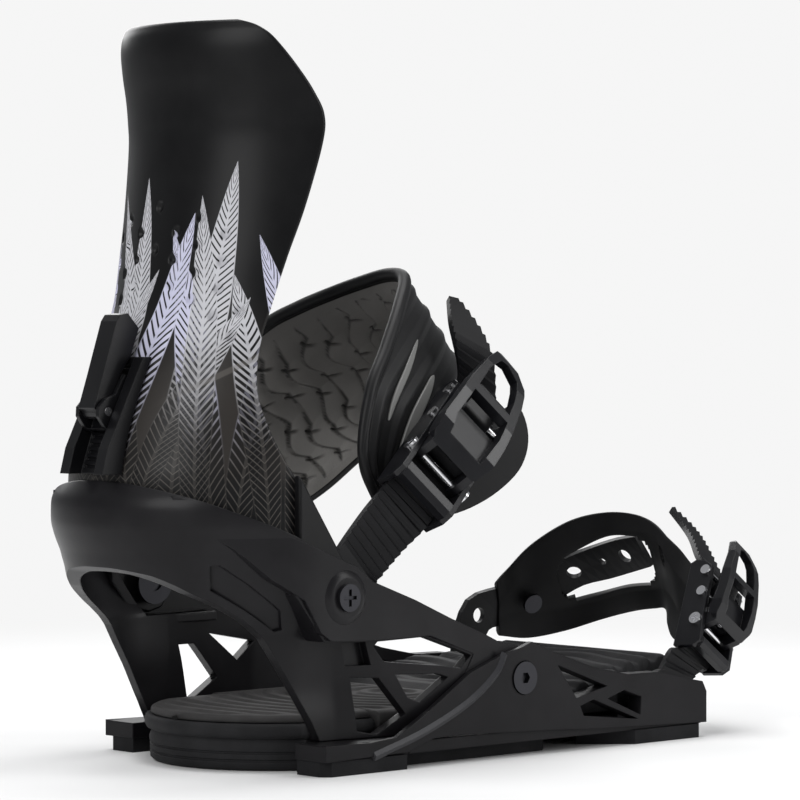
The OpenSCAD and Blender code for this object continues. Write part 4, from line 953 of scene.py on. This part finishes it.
# %% Toe ramp with its waves
RAMP_LINE = [(7, 19), (12, 21.4), (30, 24), (60, 28.5), (80, 31), (92, 31.2), (96.4, 27)]
RAMP_HALF, TOE_HALF, WAVE_LENGTH, WAVE_HIGH = 54.4, 45.5, 9.0, 0.9
ramp_x, ramp_y = np.meshgrid(np.linspace(7.2, 96.4, 260), np.linspace(-1, 1, 140), indexing="ij")
ramp_half = np.where(ramp_x > 56, TOE_HALF, RAMP_HALF)
ramp_y = ramp_y * ramp_half
wave = np.sin((ramp_x + 3.0 * np.sin(ramp_y / 9)) / WAVE_LENGTH * 2 * math.pi)
wave = (np.clip(wave * 1.5, -1, 1) - 1) * WAVE_HIGH
wave = wave * np.clip((ramp_x - 14) / 8, 0, 1) * np.clip((92 - ramp_x) / 5, 0, 1)
rim = np.clip((ramp_half - np.abs(ramp_y)) / 3, 0, 1) ** 0.5
ramp_top = np.interp(ramp_x, *zip(*RAMP_LINE)) + wave - 1.2 * (1 - rim)
ramp_low = np.where(ramp_x < 55, 12.7, 10.1)
top_grid, low_grid = (np.stack([ramp_x, ramp_y, z], axis=2) for z in (ramp_top, ramp_low))
toe_ramp = shell_between("toe_ramp_foam", top_grid, low_grid, cushion_foam)
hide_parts("toe_ramp")
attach(toe_ramp, "base")
print("ramp made")

# %% [markdown]
# A fitting that shows at an image point lies somewhere on that point's ray. The camera gives
# the ray, and the finished faces stop it, which gives the place in millimetres.

# %% Placing by a ray of the camera
def camera_ray(px, py):
    """Start and direction, in the world, of the ray through an image point."""
    side = PHOTO_SIDE
    local = Vector((px - side / 2, side / 2 - py, -side * CAM_LENS / CAM_SENSOR))
    way = camera.matrix_world.to_3x3() @ local
    return camera.matrix_world.translation.copy(), way.normalized()


def finished(objects):
    """Points and faces of what these objects look like with their modifiers."""
    bpy.context.view_layer.update()
    graph = bpy.context.evaluated_depsgraph_get()
    verts, faces = [], []
    for obj in objects:
        shape = obj.evaluated_get(graph)
        mesh = shape.to_mesh()
        first = len(verts)
        verts += [obj.matrix_world @ p.co for p in mesh.vertices]
        faces += [[first + k for k in p.vertices] for p in mesh.polygons]
        shape.to_mesh_clear()
    return verts, faces


def placed(point, verts, tree):
    """Where an image point's ray meets the faces, or else the point nearest to the ray."""
    start, way = camera_ray(*point)
    hit = tree.ray_cast(start, way)[0]
    return hit or min(verts, key=lambda p: ((p - start) - way * (p - start).dot(way)).length)


print("rays ready")

# %% [markdown]
# The ridge on the base is a light line, because its top face leans up and catches the sky; its
# nylon is also painted lighter than the base's, a painted highlight. It is a thin triangular bar
# that follows the wall's rim, given in X and Z. The ray of its foot tells how far along the wall
# it starts.

# %% Ridge along the base's wall
RIDGE_LINE = [(-76, 5.8), (-52, 12.6), (-30, 21.6), (-16, 31), (-11, 38.4)]
RIDGE_HALF, RIDGE_PROUD, RIDGE_STEPS = 1.8, 0.9, 90
base_verts, base_faces = finished([NODES["baseplate"]])
base_tree = BVHTree.FromPolygons(base_verts, base_faces)
ridge_foot = placed(POINTS["ridge foot"], base_verts, base_tree) / MM
RIDGE_LINE[0] = (float(np.clip(ridge_foot.x, -78, -72)), RIDGE_LINE[0][1])
print("ridge from", RIDGE_LINE[0], "to", RIDGE_LINE[-1])


def wall_ridge(name, side, finish):
    """A bar of triangular section that rests on the near or far wall of the base."""
    path = curve(RIDGE_LINE, RIDGE_STEPS)
    step = np.gradient(path, axis=0)
    step /= np.linalg.norm(step, axis=1, keepdims=True)
    verts = []
    for (x, z), (dx, dz) in zip(path, step * RIDGE_HALF):
        hit = base_tree.ray_cast(Vector((x, side * 120, z)) * MM, Vector((0, -side, 0)))[0]
        wall = hit.y / MM if hit else side * 57
        sunk, proud = wall - side * 0.2, wall + side * RIDGE_PROUD
        verts += [(x - dz, sunk, z + dx), (x, proud, z), (x + dz, sunk, z - dx)]
    last = 3 * RIDGE_STEPS
    faces = quads(RIDGE_STEPS, 3, round_cols=True) + [[0, 2, 1], [last - 3, last - 2, last - 1]]
    made = make(name, verts, faces, finish, smooth=False)
    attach(made, "base")


# painted highlight: the ridge is coloured lighter than the base's nylon, on top of the light its top
# face catches
ridge_painted_highlight = moulded("ridge_painted_highlight", (0.030, 0.030, 0.033), 0.30, edge_mm=0)
wall_ridge("near_wall_ridge", -1, ridge_painted_highlight)
wall_ridge("far_wall_ridge", 1, ridge_painted_highlight)
print("ridges laid")

# %% [markdown]
# A product shot of a black object needs large soft lights, because black plastic shows
# itself mainly by what it reflects. One big panel stands high on the left behind the camera,
# a wide one is overhead, and a long strip at the right draws the light edges of the levers.

# %% Floor and background
def show_to_camera(tree, mask, lit, shown, output):
    """Where mask is 1 the second shader is seen, while the first one still does the lighting."""
    blend = tree.nodes.new("ShaderNodeMixShader")
    for socket, source in zip(blend.inputs, (mask, lit, shown)):
        tree.links.new(source, socket)
    tree.links.new(blend.outputs[0], tree.nodes[output].inputs["Surface"])


BACKGROUND = (0.92, 0.92, 0.92)
FLOOR_HALF = 30.0
floor_corners = [(x * FLOOR_HALF, y * FLOOR_HALF, 0) for x, y in ((-1, -1), (1, -1), (1, 1), (-1, 1))]
floor_mesh = bpy.data.meshes.new("floor")
floor_mesh.from_pydata(floor_corners, [], [(0, 1, 2, 3)])
floor = bpy.data.objects.new("floor", floor_mesh)
bpy.context.scene.collection.objects.link(floor)
floor_finish = Finish("pale_floor", (0.80, 0.80, 0.80), 0.9, Specular_IOR_Level=0.0)
dust = floor_finish.noise(60.0, 2.0)
floor_finish.put("Base Color", floor_finish.mix(dust, (0.74, 0.74, 0.74), (0.77, 0.77, 0.77)))
fx, fy, _ = floor_finish.xyz()
far_out = (fx * fx + fy * fy).root().ramp(0.28, 0.62)
seen_by = floor_finish.node("ShaderNodeLightPath", output="Is Camera Ray")
paper = floor_finish.node("ShaderNodeEmission", values={"Color": BACKGROUND, "Strength": 1.0})
show_to_camera(floor_finish.tree, (far_out * seen_by).link, floor_finish.shader.outputs[0],
               paper.link, "Material Output")
floor_mesh.materials.append(floor_finish.material)

world = bpy.data.worlds.new("studio")
bpy.context.scene.world = world
world.use_nodes = True
tree = world.node_tree
plain = tree.nodes["Background"]
plain.inputs["Color"].default_value = (0.80, 0.81, 0.83, 1)
plain.inputs["Strength"].default_value = 0.34
seen = tree.nodes.new("ShaderNodeBackground")
seen.inputs["Color"].default_value = (*BACKGROUND, 1)
seen.inputs["Strength"].default_value = 1.0
light_path = tree.nodes.new("ShaderNodeLightPath")
either = tree.nodes.new("ShaderNodeMath")
either.operation = "MAXIMUM"
tree.links.new(light_path.outputs["Is Camera Ray"], either.inputs[0])
tree.links.new(light_path.outputs["Is Transmission Ray"], either.inputs[1])
show_to_camera(tree, either.outputs[0], plain.outputs[0], seen.outputs[0], "World Output")
print("floor and pale background")

# %% Soft lights
def panel(name, place, aim, size, power):
    light = bpy.data.lights.new(name, "AREA")
    light.shape, light.size, light.size_y, light.energy = "RECTANGLE", size[0], size[1], power
    lamp = bpy.data.objects.new(name, light)
    lamp.location = place
    lamp.rotation_euler = (Vector(aim) - Vector(place)).to_track_quat("-Z", "Y").to_euler()
    bpy.context.scene.collection.objects.link(lamp)


MIDDLE = (0, 0, 0.12)
panel("overhead", (0.1, 0.1, 1.6), MIDDLE, (1.2, 1.2), 20)
panel("left_window", (-1.5, -0.4, 0.9), MIDDLE, (0.9, 1.2), 14)
panel("right_strip", (0.9, -1.3, 0.8), MIDDLE, (0.5, 1.3), 12)
panel("back_glow", (0.8, 1.4, 0.9), MIDDLE, (1.6, 0.9), 14)
bpy.context.scene.view_settings.view_transform = "Standard"
print("four soft lights")

# %% [markdown]
# Last, every point of the dressed model is put into the image, and for each named image point
# the middle of where its fitting shows is worked out.

# %% Where the dressed model and its fittings show
def shown(place):
    """Image point of a place in the world, in metres."""
    local = camera.matrix_world.inverted() @ Vector(place)
    scale = PHOTO_SIDE * CAM_LENS / CAM_SENSOR
    return PHOTO_SIDE / 2 + local.x / -local.z * scale, PHOTO_SIDE / 2 - local.y / -local.z * scale


solid = [o for o in bpy.context.scene.objects if o.type == "MESH" and not o.hide_render]
all_seen = np.array([shown(p) for p in finished([o for o in solid if o is not floor])[0]])


NEAR, UP, LEFT = Vector((0, -1, 0)), Vector((0, 0, 1)), -cam_right


def middle_of(objects, toward, half=None, skin=2.5):
    """Middle of what shows of the few millimetres that reach furthest one way."""
    spots = [p for p in finished(objects)[0] if not half or p.y * half > 0]
    reach = max(p.dot(toward) for p in spots)
    seen = np.array([shown(p) for p in spots if p.dot(toward) > reach - skin * MM])
    return tuple((seen.min(axis=0) + seen.max(axis=0)) / 2)


middle_of([NODES["pivot_screws"]], NEAR)
middle_of([NODES["hoop_screws"]], NEAR)
middle_of([NODES["pivot_nuts"]], NEAR, half=1)
middle_of([NODES["ankle_ladder"]], UP)
middle_of([NODES["toe_ladder"]], UP)
middle_of([NODES["lean_lever"]], UP)
middle_of([NODES["ankle_lever_axle"]], LEFT)
middle_of([NODES["toe_lever_axle"]], LEFT)
near_ridge = bpy.data.objects["near_wall_ridge"]
middle_of([near_ridge], LEFT)
middle_of([near_ridge], -LEFT)
